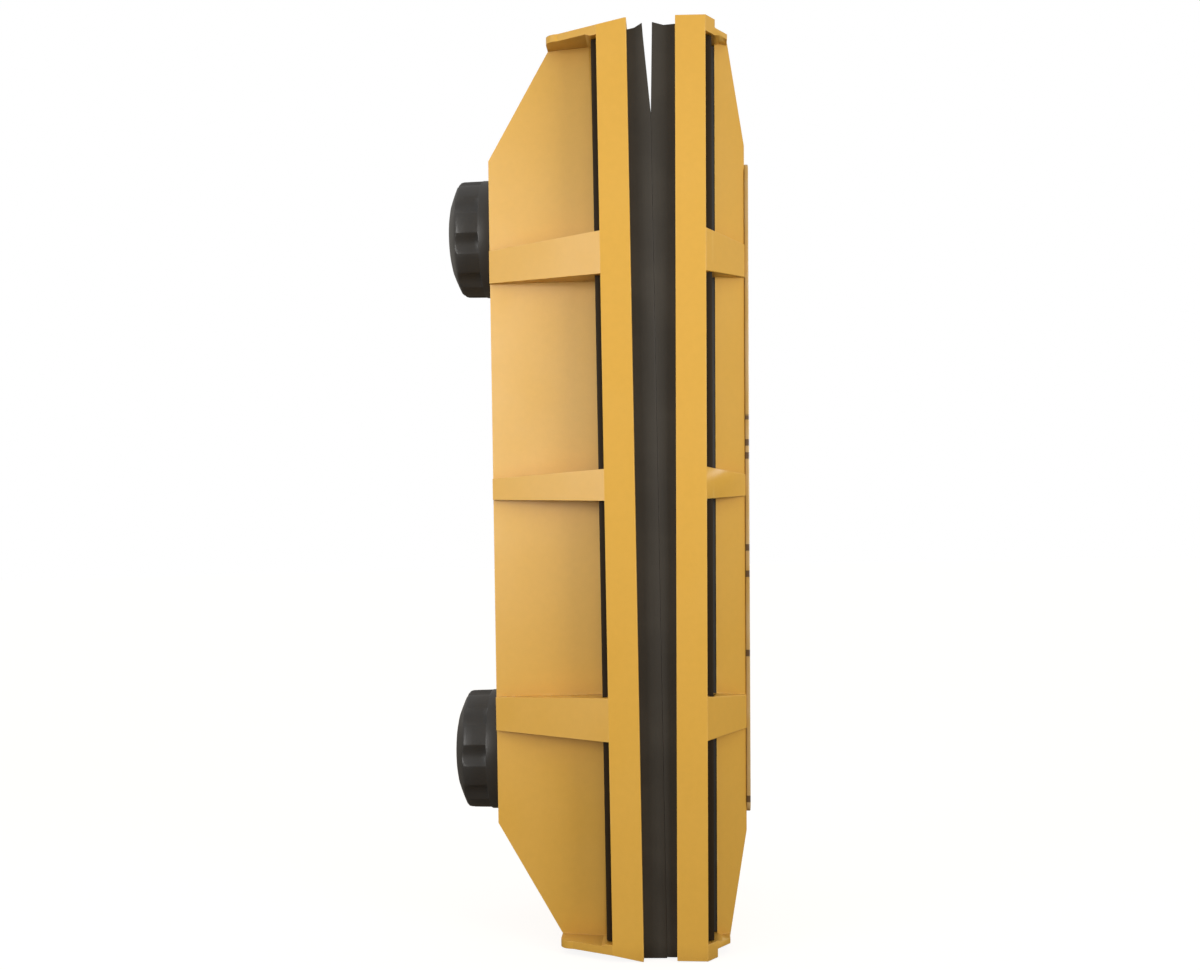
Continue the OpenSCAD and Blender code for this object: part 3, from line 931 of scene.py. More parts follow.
@dataclass(frozen=True)
class PrintedLabel(Finish):
    """Printed label film: a warm cream field, blank bars and a row of tinted panels.

    Attributes:
        name: The material's name.
        origin: Middle of the label's face, in the part frame.
        half_w: Half width of the printed face.
        half_z: Half length of the printed face.
    """

    name: str
    origin: Point
    half_w: float
    half_z: float

    ROW = 4.2 * MM
    PANEL = 26.0 * MM
    PRINT_TOP = 22.0 * MM
    PAPER = (0.66, 0.40, 0.10)
    INK = (0.17, 0.095, 0.04)
    BRONZE = (0.27, 0.14, 0.045)
    PALE = (0.80, 0.70, 0.52)

    def material(self) -> bpy.types.Material:
        """Returns the finished material."""
        material, bench, shader, place = self.start()
        mapping = bench.add("ShaderNodeMapping", vector_type="TEXTURE")
        mapping.inputs["Location"].default_value = self.origin
        bench.link(place, mapping.inputs["Vector"])
        from_middle = mapping.outputs["Vector"]
        axes = bench.add("ShaderNodeSeparateXYZ")
        bench.link(from_middle, axes.inputs[0])
        across = bench.math("ABSOLUTE", axes.outputs["Y"])
        along = axes.outputs["Z"]
        paper = bench.mix(
            bench.ramp(bench.noise(place, 70.0, 4.0), 0.35, 0.7, 0.0, 0.35), self.PAPER, self.PALE
        )
        panels = self._bars(bench, along, self.PANEL, 0.7)
        rows = self._bars(bench, along, self.ROW, 0.5)
        by_row = bench.noise(self._by_row(bench, from_middle), 1.0, 0.0)
        length = bench.ramp(by_row, 0.38, 0.56, 0.66, 1.02)
        from_side = bench.math("GREATER_THAN", across, self.half_w * 0.62)
        to_end = bench.math("LESS_THAN", across, bench.math("MULTIPLY", length, self.half_w))
        ink = bench.math("MULTIPLY", rows, bench.math("MULTIPLY", from_side, to_end))
        below = bench.ramp(along, self.PRINT_TOP, self.PRINT_TOP + MM, 1.0, 0.0)
        ink = bench.math("MULTIPLY", ink, below)
        colour = bench.mix(ink, paper, self.INK)
        middle = bench.ramp(across, self.half_w * 0.46, self.half_w * 0.47, 1.0, 0.0)
        panel = bench.math("MULTIPLY", panels, middle)
        tint = bench.mix(
            bench.ramp(along, -self.half_z, self.half_z, 0.0, 1.0), self.BRONZE, self.PALE
        )
        colour = bench.mix(panel, colour, tint)
        bench.link(colour, shader.inputs["Base Color"])
        scuffs = self.group(bench, EFFECTS.scuffs, place, Density=0.8)
        rough = bench.math("ADD", 0.28, bench.math("MULTIPLY", scuffs, 0.3))
        bench.link(rough, shader.inputs["Roughness"])
        shader.inputs["Coat Weight"].default_value = 0.35
        height = self.group(bench, EFFECTS.grain, place, Scale=2200.0)
        height = bench.math("ADD", height, bench.math("MULTIPLY", ink, 1.5))
        self.bump(bench, shader, height, 0.012 * MM)
        return material

    @staticmethod
    def _bars(bench: NodeBench, along: Any, pitch: float, share: float) -> Any:
        """Repeats a bar along the label.

        Args:
            bench: The material's bench.
            along: The coordinate along the label.
            pitch: Distance from one bar to the next.
            share: How much of the pitch a bar fills.

        Returns:
            The bars' mask, as a socket.
        """
        wrapped = bench.math("FRACT", bench.math("DIVIDE", along, pitch))
        return bench.math("LESS_THAN", wrapped, share)

    def _by_row(self, bench: NodeBench, from_middle: Any) -> Any:
        """Makes coordinates jump from row to row, so that noise on them differs by row.

        Args:
            bench: The material's bench.
            from_middle: The coordinates from the label's middle.

        Returns:
            The stepped coordinates' socket.
        """
        snap = bench.add("ShaderNodeVectorMath", operation="SNAP")
        snap.inputs[1].default_value = (10.0, 10.0, self.ROW)
        bench.link(from_middle, snap.inputs[0])
        spread = bench.add("ShaderNodeVectorMath", operation="SCALE")
        spread.inputs["Scale"].default_value = 937.0
        bench.link(snap.outputs[0], spread.inputs[0])
        return spread.outputs[0]


@dataclass(frozen=True)
class StudioPaper(Finish):
    """Plain pale paper for the floor.

    Attributes:
        name: The material's name.
        colour: The paper's colour.
        glow: How much brighter it looks than it lights the object.
    """

    name: str
    colour: Colour
    glow: float

    def material(self) -> bpy.types.Material:
        """Returns the finished material."""
        material, bench, shader, place = self.start()
        fibre = bench.ramp(bench.noise(place, 300.0, 3.0), 0.3, 0.7, 0.97, 1.0)
        bench.link(bench.shade(self.colour, fibre), shader.inputs["Base Color"])
        shader.inputs["Roughness"].default_value = 0.9
        shader.inputs["Emission Color"].default_value = (1.0, 1.0, 1.0, 1.0)
        seen = bench.add("ShaderNodeLightPath").outputs["Is Camera Ray"]
        bench.link(bench.math("MULTIPLY", seen, self.glow), shader.inputs["Emission Strength"])
        return material


# Each plastic's fourth colour is its inside corner colour: painted shade and soiling in one.
YELLOW = MouldedPlastic(
    "yellow_plastic", (0.760, 0.424, 0.062), (0.772, 0.436, 0.067), (0.88, 0.60, 0.20),
    (0.30, 0.13, 0.02), roughness=0.36, coat=0.10, wear=0.45, grime_and_shade=0.40,
)
BLACK_BAR = MouldedPlastic(
    "holder_plastic", (0.026, 0.017, 0.008), (0.032, 0.021, 0.010), (0.07, 0.05, 0.03),
    (0.012, 0.010, 0.008), roughness=0.62, wear=0.2, grime_and_shade=0.3, grime_and_shade_reach=3 * MM, shine=0.2,
)
KNOB_BLACK = MouldedPlastic(
    "knob_plastic", (0.036, 0.035, 0.034), (0.042, 0.040, 0.038), (0.11, 0.11, 0.11),
    (0.010, 0.009, 0.008), roughness=0.42, grain_scale=2200.0, grain_depth=0.03 * MM,
    wear=0.4, grime_and_shade=0.35, grime_and_shade_reach=3 * MM,
)
BASE_GREY = MouldedPlastic(
    "base_plastic", (0.034, 0.030, 0.026), (0.042, 0.037, 0.032), (0.13, 0.12, 0.11),
    (0.015, 0.012, 0.009), roughness=0.55, wear=0.3, grime_and_shade=0.4,
)
ACETAL = MouldedPlastic(
    "bush_plastic", (0.78, 0.75, 0.66), (0.82, 0.80, 0.72), (0.9, 0.9, 0.86),
    (0.3, 0.26, 0.2), roughness=0.35, wear=0.2, grime_and_shade=0.3,
)
RUBBER = BladeRubber("blade_rubber", (0.031, 0.0255, 0.018), (0.070, 0.060, 0.046), 0.5)
PILE = Microfibre("pad_fibre", (0.83, 0.83, 0.82), (0.42, 0.43, 0.45))
HOOKS = HookTape("hook_tape", (0.10, 0.10, 0.11), (0.32, 0.32, 0.34))
STEEL = WorkedMetal("steel", (0.56, 0.56, 0.57), (0.30, 0.28, 0.26), Lay.ROUND_X, 0.32)
NICKEL = WorkedMetal("magnet", (0.66, 0.65, 0.62), (0.40, 0.38, 0.34), Lay.ALONG_Z, 0.22)
BRASS = WorkedMetal("brass", (0.72, 0.50, 0.20), (0.36, 0.22, 0.09), Lay.ROUND_X, 0.28)


# ---------------------------------------------------------------------------
# Sub-assemblies
# ---------------------------------------------------------------------------


@dataclass
class Wardrobe:
    """Every finish, made once and handed out by the record's slot name.

    Attributes:
        materials: Slot name to material.
    """

    materials: dict[str, bpy.types.Material] = field(default_factory=dict)

    def fill(self, finishes: Sequence[Any]) -> None:
        """Makes the material of each finish."""
        for finish in finishes:
            self.materials[finish.name] = finish.material()

    def dress(
        self, piece: bpy.types.Object, slot: str, body: str, nodes: Sequence[str] = ()
    ) -> None:
        """Finishes a piece: its material, its body and the nodes it stands for.

        Args:
            piece: The finished mesh object.
            slot: The record's slot name.
            body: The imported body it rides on.
            nodes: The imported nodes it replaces.
        """
        piece.data.materials.clear()
        piece.data.materials.append(self.materials[slot])
        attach(piece, body)
        if nodes:
            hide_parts(*nodes)
        LOG.info("%s: %d faces on %s", piece.name, len(piece.data.polygons), body)


@dataclass
class Housing:
    """The moulded shell of a half, with its outside edges rounded as a mould leaves them.

    Attributes:
        half: The half's frame.
        rim_round: Rounding of the blade rims' edges.
        rib_round: Rounding of the ribs' slanted edges.
        face_round: Rounding of the back face and the sloped ends.
        mouth_round: Rounding of the edges beside the blades and of short edges.
    """

    half: HalfFrame
    rim_round: float = 0.6 * MM
    rib_round: float = 1.3 * MM
    face_round: float = 0.8 * MM
    mouth_round: float = 0.35 * MM

    NEAR = 0.1 * MM
    SHORT = 3.0 * MM
    RIBS_END = 100.0 * MM
    WALL_IN = 1.0 * MM
    END_WALL = 4.5 * MM
    BUSH_R = 7.0 * MM
    CORD_T = 17.0 * MM
    CORD_Y = 42.3 * MM
    CORD_R = 2.6 * MM
    CORD_Z = 139.0 * MM
    LUG_T = 16.0 * MM
    LUG_Y = 38.0 * MM
    LUG_Z = 13.5 * MM

    def build(self) -> bpy.types.Object:
        """Returns the rounded shell."""
        piece = copy_of_node(f"{self.half.name}_housing", f"{self.half.name}_shell")
        settle(piece, self.half.matrix.inverted())
        round_edges(piece, self.width_of, 3)
        smooth(piece, 40)
        apply_modifier(piece, "WEIGHTED_NORMAL", keep_sharp=True)
        settle(piece, self.half.matrix)
        return piece

    def hidden(self, t: float, y: float, z: float) -> bool:
        """Says whether a place is inside the shell, on one of its holes or on its cord lug.

        Args:
            t: Depth of the place in the half frame.
            y: Its distance from the middle of the width.
            z: Its distance from mid length.

        Returns:
            Whether edges there stay as they are.
        """
        half = self.half
        share = (t - half.core_t) / (half.depth - half.core_t)
        side = SIZES.side_y_rim - (SIZES.side_y_rim - SIZES.side_y_back) * share
        in_tray = t < half.core_t + self.NEAR and y < SIZES.tray_y - 2 * self.NEAR
        in_tray = in_tray and z < SIZES.tray_z + 2 * self.NEAR
        in_core = half.core_t - self.NEAR < t < half.depth - self.WALL_IN
        in_core = in_core and y < side - self.WALL_IN and z < SIZES.half_len - self.END_WALL
        on_bush = math.hypot(y, z - SIZES.knob_z) < self.BUSH_R
        on_cord = math.hypot(t - self.CORD_T, y - self.CORD_Y) < self.CORD_R and z > self.CORD_Z
        on_lug = t < self.LUG_T and y > self.LUG_Y and z < self.LUG_Z and half.name == "outer"
        return in_tray or in_core or on_bush or on_cord or on_lug

    def width_of(self, a: Vector, b: Vector) -> float:
        """Chooses the rounding of an edge.

        Args:
            a: One end of the edge in the half frame.
            b: Its other end.

        Returns:
            The rounding's width, or nothing where the edge is hidden.
        """
        middle = (a + b) / 2
        t, y, z = middle.x, abs(middle.y), abs(middle.z)
        if self.hidden(t, y, z):
            return 0.0
        if t < self.NEAR:
            at_mouth = y < SIZES.tray_y + 2 * self.NEAR and z < SIZES.tray_z + 2 * self.NEAR
            return self.mouth_round if at_mouth else self.rim_round
        if y > SIZES.half_w - self.NEAR:
            return self.rim_round
        if t > self.half.depth - self.NEAR:
            return self.mouth_round if (b - a).length < self.SHORT else self.face_round
        slanted = abs(a.x - b.x) > self.SHORT and abs(abs(a.y) - abs(b.y)) > self.SHORT
        if slanted and abs(a.z - b.z) < self.SHORT:
            return self.rib_round if z < self.RIBS_END else self.face_round
        return self.mouth_round if t < self.half.core_t + 2 * MM else self.face_round


@dataclass
class Blade:
    """A squeegee blade: a hooked root held in the housing, and a tapered lip that meets the pane.

    Attributes:
        half: The half's frame.
        side: The long edge it runs along.
        reach: How far its lip reaches beyond the rim face at most.
        clear: Distance from the lip to the pane plane.
        relief: How far the lip's top end stands back from the pane.
        curl: How much higher the lip's, the middle's and the root's top end are.
    """

    half: HalfFrame
    side: Side
    reach: float
    clear: float
    relief: float
    curl: tuple[float, float, float]

    CUTS = tuple(z * MM for z in (-70, 0, 60, 90, 108, 116, 122, 128, 134))
    EDGE_Y = SIZES.tray_y - 0.1 * MM
    ROOT_END = SIZES.tray_z - 0.3 * MM
    HOOK_T = SIZES.root_t - 2 * MM
    HOOK = 1.2 * MM
    END_GAP = 0.1 * MM
    NEAR = 0.1 * MM

    def lip_depth(self, z: float) -> float:
        """Returns the lip's depth at a height, from where the pane plane passes."""
        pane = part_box("inner_housing")[1].x + SIZES.inner_gap
        away = self.relief * max(0.0, z - SIZES.relief_z) / (SIZES.half_len - SIZES.relief_z)
        turn = self.half.matrix.to_3x3() @ Vector((1, 0, 0))
        target = pane + math.copysign(self.clear + away, turn.x)
        return (target - self.half.place((0.0, 0.0, z)).x) / turn.x

    @property
    def levels(self) -> list[float]:
        """Heights at which the blade is shaped, from its lower end to its upper end."""
        end = SIZES.lip_end
        return [-end, -self.ROOT_END, *self.CUTS, self.ROOT_END, end]

    def build(self) -> bpy.types.Object:
        """Returns the blade, modelled at +Y and turned to its side."""
        name = f"{self.half.name}_squeegee_{self.side.name.lower()}"
        low = (-self.reach, self.EDGE_Y - SIZES.blade_root, -SIZES.lip_end)
        piece = block(name, low, (SIZES.root_t, self.EDGE_Y, SIZES.lip_end))
        with editing(piece):
            self.cut_levels(piece)
            self.meet_pane(piece)
            self.taper_lip(piece)
            self.shape_ends(piece)
            self.draw_hook(piece)
        if self.side.value * self.half.matrix[1][1] < 0:
            self.mirror(piece)
        ease_edges(piece, 0.18 * MM, 50)
        smooth(piece, 30)
        settle(piece, self.half.matrix)
        return piece

    def near(self, place: Vector, t: float, z: float) -> bool:
        """Says whether a place is at this depth and this height."""
        return abs(place.z - z) < self.NEAR and abs(place.x - t) < self.NEAR

    def cut_levels(self, piece: bpy.types.Object) -> None:
        """Cuts the block at its depths and heights, and draws the root's ends in."""
        for t in (-self.reach / 2, 0.0, 0.3 * MM, self.HOOK_T):
            cut_across(piece, (t, 0, 0), (1, 0, 0))
        for z in self.levels[1:-1]:
            cut_across(piece, (0, 0, z), (0, 0, 1))
        for s in (-1, 1):
            pick_verts(piece, lambda p: p.x > 0.2 * MM and s * p.z > self.ROOT_END + MM)
            shift(z=s * (self.ROOT_END - SIZES.lip_end))

    def meet_pane(self, piece: bpy.types.Object) -> None:
        """Moves the web's middle and the lip so that the lip meets the pane plane."""
        for z in self.levels:
            lip = self.lip_depth(z)
            for share in (0.5, 1.0):
                if pick_verts(piece, lambda p: self.near(p, -share * self.reach, z)):
                    shift(x=share * lip + share * self.reach)

    def taper_lip(self, piece: bpy.types.Object) -> None:
        """Thins the web's middle and the lip from the inner side."""
        taper = SIZES.blade_root - SIZES.blade_lip
        inner_face = self.EDGE_Y - 0.5 * SIZES.blade_root
        for z in self.levels:
            lip = self.lip_depth(z)
            for share in (0.5, 1.0):
                if pick_verts(
                    piece, lambda p: self.near(p, share * lip, z) and p.y < inner_face
                ):
                    shift(y=taper * share)

    def shape_ends(self, piece: bpy.types.Object) -> None:
        """Curls the upper end, and carries the lower end almost to the housing's end."""
        end = SIZES.lip_end
        top_lip = self.lip_depth(end)
        for share, rise in zip((1.0, 0.5, 0.0), self.curl):
            pick_verts(
                piece,
                lambda p: p.z > end - self.NEAR and abs(p.x - share * top_lip) < self.NEAR,
            )
            shift(z=rise)
        pick_verts(piece, lambda p: p.z < self.NEAR - end)
        shift(z=end - SIZES.half_len + self.END_GAP)

    def draw_hook(self, piece: bpy.types.Object) -> None:
        """Merges what the cuts left double, and draws the hook out of the root."""
        bpy.ops.mesh.select_all(action="SELECT")
        bpy.ops.mesh.remove_doubles(threshold=0.02 * MM)
        bpy.ops.mesh.select_mode(type="FACE")
        pick_faces(piece, lambda c, n: n.y < -0.9 and c.x > self.HOOK_T)
        bpy.ops.mesh.extrude_region_move(TRANSFORM_OT_translate={"value": (0, -self.HOOK, 0)})

    @staticmethod
    def mirror(piece: bpy.types.Object) -> None:
        """Mirrors a piece to the other long edge, with its faces still outwards."""
        with editing(piece):
            bpy.ops.mesh.select_all(action="SELECT")
            bpy.ops.transform.mirror(
                constraint_axis=(False, True, False), center_override=(0, 0, 0)
            )
            bpy.ops.mesh.normals_make_consistent(inside=False)


@dataclass
class Knob:
    """A fluted knob with a round skirt, a shoulder, a low crown and a seat for its cap.

    Attributes:
        half: The inner half's frame.
        level: The magnet station it belongs to.
        flutes: Number of finger flutes.
        turn: Turn of the flutes about the spindle, in degrees.
        flute_r: Radius of a flute.
        flute_out: Distance of a flute's axis from the knob's axis.
    """

    half: HalfFrame
    level: Level
    flutes: int = 9
    turn: float = 16.0
    flute_r: float = 5.0 * MM
    flute_out: float = 23.4 * MM

    SIDES = 108
    SKIRT_TOP = 4.9 * MM
    PROFILE = (
        (19.4, 0.0), (20.0, 0.6), (20.0, 4.5), (19.88, 4.8), (19.88, 5.0), (19.86, 6.6),
        (19.82, 9.0), (19.75, 11.3), (19.5, 12.2), (18.8, 12.85), (17.1, 13.65), (15.0, 14.55),
        (12.8, 15.4), (10.4, 15.95), (8.3, 16.2), (7.85, 16.1), (7.6, 14.6),
    )

    def build(self) -> bpy.types.Object:
        """Returns the knob in its place on the inner half."""
        profile = [(r * MM, h * MM) for r, h in self.PROFILE]
        piece = turned(f"knob_grip_{self.level.name.lower()}", profile, self.SIDES)
        with editing(piece):
            for radius, height in profile:
                if height >= self.SKIRT_TOP:
                    self.press_flutes(piece, radius, height)
        ease_edges(piece, 0.3 * MM, 28)
        smooth(piece, 32)
        seat = Matrix.Translation((SIZES.knob_base, 0, self.level.value * SIZES.knob_z))
        stand = Matrix.Rotation(math.pi / 2, 4, "Y")
        spin = Matrix.Rotation(math.radians(self.turn), 4, "Z")
        settle(piece, self.half.matrix @ seat @ stand @ spin)
        return piece

    def press_flutes(self, piece: bpy.types.Object, radius: float, height: float) -> None:
        """Presses the flutes into one ring of the knob.

        Args:
            piece: The knob, in edit mode.
            radius: The ring's radius.
            height: The ring's height.
        """
        pitch = 2 * math.pi / self.flutes
        step = 2 * math.pi / self.SIDES
        for index in range(4):
            off = index * step
            hollow = self.flute_out * math.cos(off) - math.sqrt(
                self.flute_r**2 - (self.flute_out * math.sin(off)) ** 2
            )
            if hollow >= radius:
                continue
            picked = pick_verts(
                piece,
                lambda p: abs(p.z - height) < 0.01 * MM
                and abs(self.from_flute(p, pitch) - off) < step * 0.2
                and abs(p.xy.length - radius) < 0.05 * MM,
            )
            if picked:
                scale_about((hollow / radius, hollow / radius, 1.0))

    @staticmethod
    def from_flute(place: Vector, pitch: float) -> float:
        """Returns the angle from a place to the middle of its nearest flute."""
        angle = math.atan2(place.y, place.x) % pitch
        return abs(angle - pitch / 2)


@dataclass
class WipingPad:
    """A microfibre pad: a stuffed form that swells, held flat by its hook strip and the pane.

    Attributes:
        half: The half's frame.
        level: The end of the half it lies at.
        margin: How much smaller the stuffing starts than the space it fills.
        voxel: Grid of the remeshed stuffing.
        swell: Furthest that a point may swell.
        channels: Where the sewn channels run, across the width.
    """

    half: HalfFrame
    level: Level
    margin: float = 1.3 * MM
    voxel: float = 2.4 * MM
    swell: float = 3.0 * MM
    channels: tuple[float, ...] = (-17.0 * MM, 0.0, 17.0 * MM)

    CHANNEL_W = 1.9 * MM
    SEAM_IN = 3.6 * MM
    SEAM_W = 1.6 * MM
    SEAM_SHARE = 0.8
    DEEPEST = 1.1 * MM

    def build(self) -> bpy.types.Object:
        """Returns the swollen, sewn pad."""
        node = f"{self.half.name}_pad_{self.level.name.lower()}"
        piece = copy_of_node(node, f"{self.half.name}_microfibre_{self.level.name.lower()}")
        low, high = (Vector(c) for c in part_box(node))
        centre = (low + high) / 2
        size = high - low
        with editing(piece):
            bpy.ops.mesh.select_all(action="SELECT")
            factor = tuple(1 - 2 * self.margin / s if s > 12 * MM else 0.86 for s in size)
            scale_about(factor, tuple(centre))
        apply_modifier(piece, "REMESH", mode="VOXEL", voxel_size=self.voxel)
        start = [v.co.copy() for v in piece.data.vertices]
        self.swell_up(piece)
        self.hold(piece, start, low, high)
        self.sew(piece, centre, size)
        apply_modifier(piece, "SUBSURF", levels=1, render_levels=1)
        smooth(piece, 80)
        return piece

    @staticmethod
    def swell_up(piece: bpy.types.Object) -> None:
        """Blows the pad up as cloth under pressure, and applies the result."""
        cloth = piece.modifiers.new("stuffing", "CLOTH")
        cloth.settings.use_pressure = True
        cloth.settings.uniform_pressure_force = 4.0
        cloth.settings.effector_weights.gravity = 0.0
        cloth.settings.quality = 4
        for number in range(1, 21):
            bpy.context.scene.frame_set(number)
        select_only(piece)
        bpy.ops.object.modifier_apply(modifier=cloth.name)
        bpy.context.scene.frame_set(1)

    def hold(
        self, piece: bpy.types.Object, start: Sequence[Vector], low: Vector, high: Vector
    ) -> None:
        """Keeps each point near its start and inside the pad's space.

        Args:
            piece: The swollen pad.
            start: Each vertex's place before it swelled.
            low: Lowest corner of the space.
            high: Highest corner of the space.
        """
        gap = 0.05 * MM
        for vert, before in zip(piece.data.vertices, start):
            move = vert.co - before
            if move.length > self.swell:
                move *= self.swell / move.length
            place = before + move
            for axis in range(3):
                place[axis] = min(max(place[axis], low[axis] + gap), high[axis] - gap)
            vert.co = place

    def sew(self, piece: bpy.types.Object, centre: Vector, size: Vector) -> None:
        """Presses the sewn channels and the seam round the edge into the pad's wiping face.

        Args:
            piece: The pad.
            centre: Centre of the pad's space.
            size: Size of the pad's space.
        """
        inside = self.half.place((20 * MM, 0, centre.z - SIZES.half_len))
        towards = math.copysign(1.0, (centre - inside).x)
        for vert in piece.data.vertices:
            facing = max(0.0, towards * (vert.co.x - centre.x) / (size.x / 2))
            dip = max(self.groove(vert.co.y - y, self.CHANNEL_W) for y in self.channels)
            for axis in (1, 2):
                inset = size[axis] / 2 - abs(vert.co[axis] - centre[axis])
                dip = max(dip, self.SEAM_SHARE * self.groove(inset - self.SEAM_IN, self.SEAM_W))
            vert.co.x -= towards * facing * dip * min(self.DEEPEST, size.x * 0.2)

    @staticmethod
    def groove(off: float, width: float) -> float:
        """Returns how deep a groove of this width is at a distance from its middle, from 0 to 1."""
        return math.exp(-((off / width) ** 2))


@dataclass
class LabelPanel:
    """The printed panel over the outer half's back face, with rounded corners.

    Attributes:
        half: The outer half's frame.
        half_w: Half width of the panel.
        half_z: Half length of the panel.
        corner: Size of its rounded corners.
    """

    half: HalfFrame
    half_w: float = 30.5 * MM
    half_z: float = 104.0 * MM
    corner: float = 3.0 * MM

    def build(self) -> bpy.types.Object:
        """Returns the panel."""
        low = (self.half.depth, -self.half_w, -self.half_z)
        piece = block("label_panel", low, (SIZES.label_depth, self.half_w, self.half_z))
        with editing(piece, "EDGE"):
            mesh = bmesh.from_edit_mesh(piece.data)
            for edge in mesh.edges:
                edge.select_set(abs(edge.verts[0].co.x - edge.verts[1].co.x) > 0.1 * MM)
            bmesh.update_edit_mesh(piece.data)
            bpy.ops.mesh.bevel(offset=self.corner, segments=5)
            bpy.ops.mesh.select_mode(type="FACE")
            bpy.ops.mesh.select_all(action="DESELECT")
            pick_faces(piece, lambda c, n: n.x > 0.9)
            bpy.ops.mesh.inset(thickness=1.6 * MM)
            shift(x=-0.12 * MM)
        ease_edges(piece, 0.25 * MM, 40)
        smooth(piece, 35)
        settle(piece, self.half.matrix)
        return piece


@dataclass
class EasedPart:
    """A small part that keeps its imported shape, with its sharp edges eased.

    Attributes:
        node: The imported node.
        slot: The record's slot name.
        ease: Width of the eased edges.
    """

    node: str
    slot: str
    ease: float = 0.25 * MM

    def build(self) -> bpy.types.Object:
        """Returns the eased part."""
        piece = copy_of_node(self.node, f"{self.node}_eased")
        ease_edges(piece, self.ease, 38)
        smooth(piece, 35)
        return piece


@dataclass
class Half:
    """One half with all that it carries.

    Attributes:
        frame: The half's frame.
        wardrobe: The finishes.
        reach: How far its blades reach at most.
        clear: Distance from its blades to the pane plane.
        relief: How far its blades' top ends stand back.
        curl: Shape of its blades' top ends.
    """

    frame: HalfFrame
    wardrobe: Wardrobe
    reach: float
    clear: float
    relief: float
    curl: tuple[float, float, float]

    def build(self) -> None:
        """Builds and dresses the half."""
        name, body = self.frame.name, self.frame.body
        dress = self.wardrobe.dress
        dress(Housing(self.frame).build(), "yellow_plastic", body, [f"{name}_housing"])
        for side in Side:
            blade = Blade(self.frame, side, self.reach, self.clear, self.relief, self.curl)
            dress(blade.build(), "blade_rubber", body, [f"{name}_blade_{side.name.lower()}"])
            holder = EasedPart(
                f"{name}_blade_holder_{side.name.lower()}", "holder_plastic", 0.4 * MM
            )
            dress(holder.build(), holder.slot, body, [holder.node])
        for level in Level:
            end = level.name.lower()
            pad = WipingPad(self.frame, level)
            dress(pad.build(), "pad_fibre", body, [f"{name}_pad_{end}"])
        for node, slot, ease in (
            (f"{name}_base_plate", "base_plastic", 0.5 * MM),
            (f"{name}_base_screws", "steel", 0.15 * MM),
        ):
            part = EasedPart(node, slot, ease)
            dress(part.build(), slot, body, [node])


@dataclass
class KnobStation:
    """A knob and its cap, which turn together.

    Attributes:
        frame: The inner half's frame.
        wardrobe: The finishes.
        level: The magnet station it belongs to.
    """

    frame: HalfFrame
    wardrobe: Wardrobe
    level: Level

    TURNS = {Level.UPPER: 16.0, Level.LOWER: 31.0}

    def build(self) -> None:
        """Builds and dresses the station."""
        end = self.level.name.lower()
        body = f"knob_assembly_{end}"
        knob = Knob(self.frame, self.level, turn=self.TURNS[self.level])
        self.wardrobe.dress(knob.build(), "knob_plastic", body, [f"knob_{end}"])
        cap = EasedPart(f"knob_cap_{end}", "knob_plastic", 0.4 * MM)
        self.wardrobe.dress(cap.build(), cap.slot, body, [cap.node])


def finish_packed_nodes(wardrobe: Wardrobe) -> None:
    """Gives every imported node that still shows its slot's finish."""
    slots = {p["node"]: p["material_slot"] for p in FRAME["record"]["subparts"]}
    for node, piece in FRAME["nodes"].items():
        if piece.hide_render:
            continue
        material = wardrobe.materials[slots[node]]
        for place in piece.material_slots:
            place.material = material
        LOG.info("%s: packed shape, %s", node, slots[node])


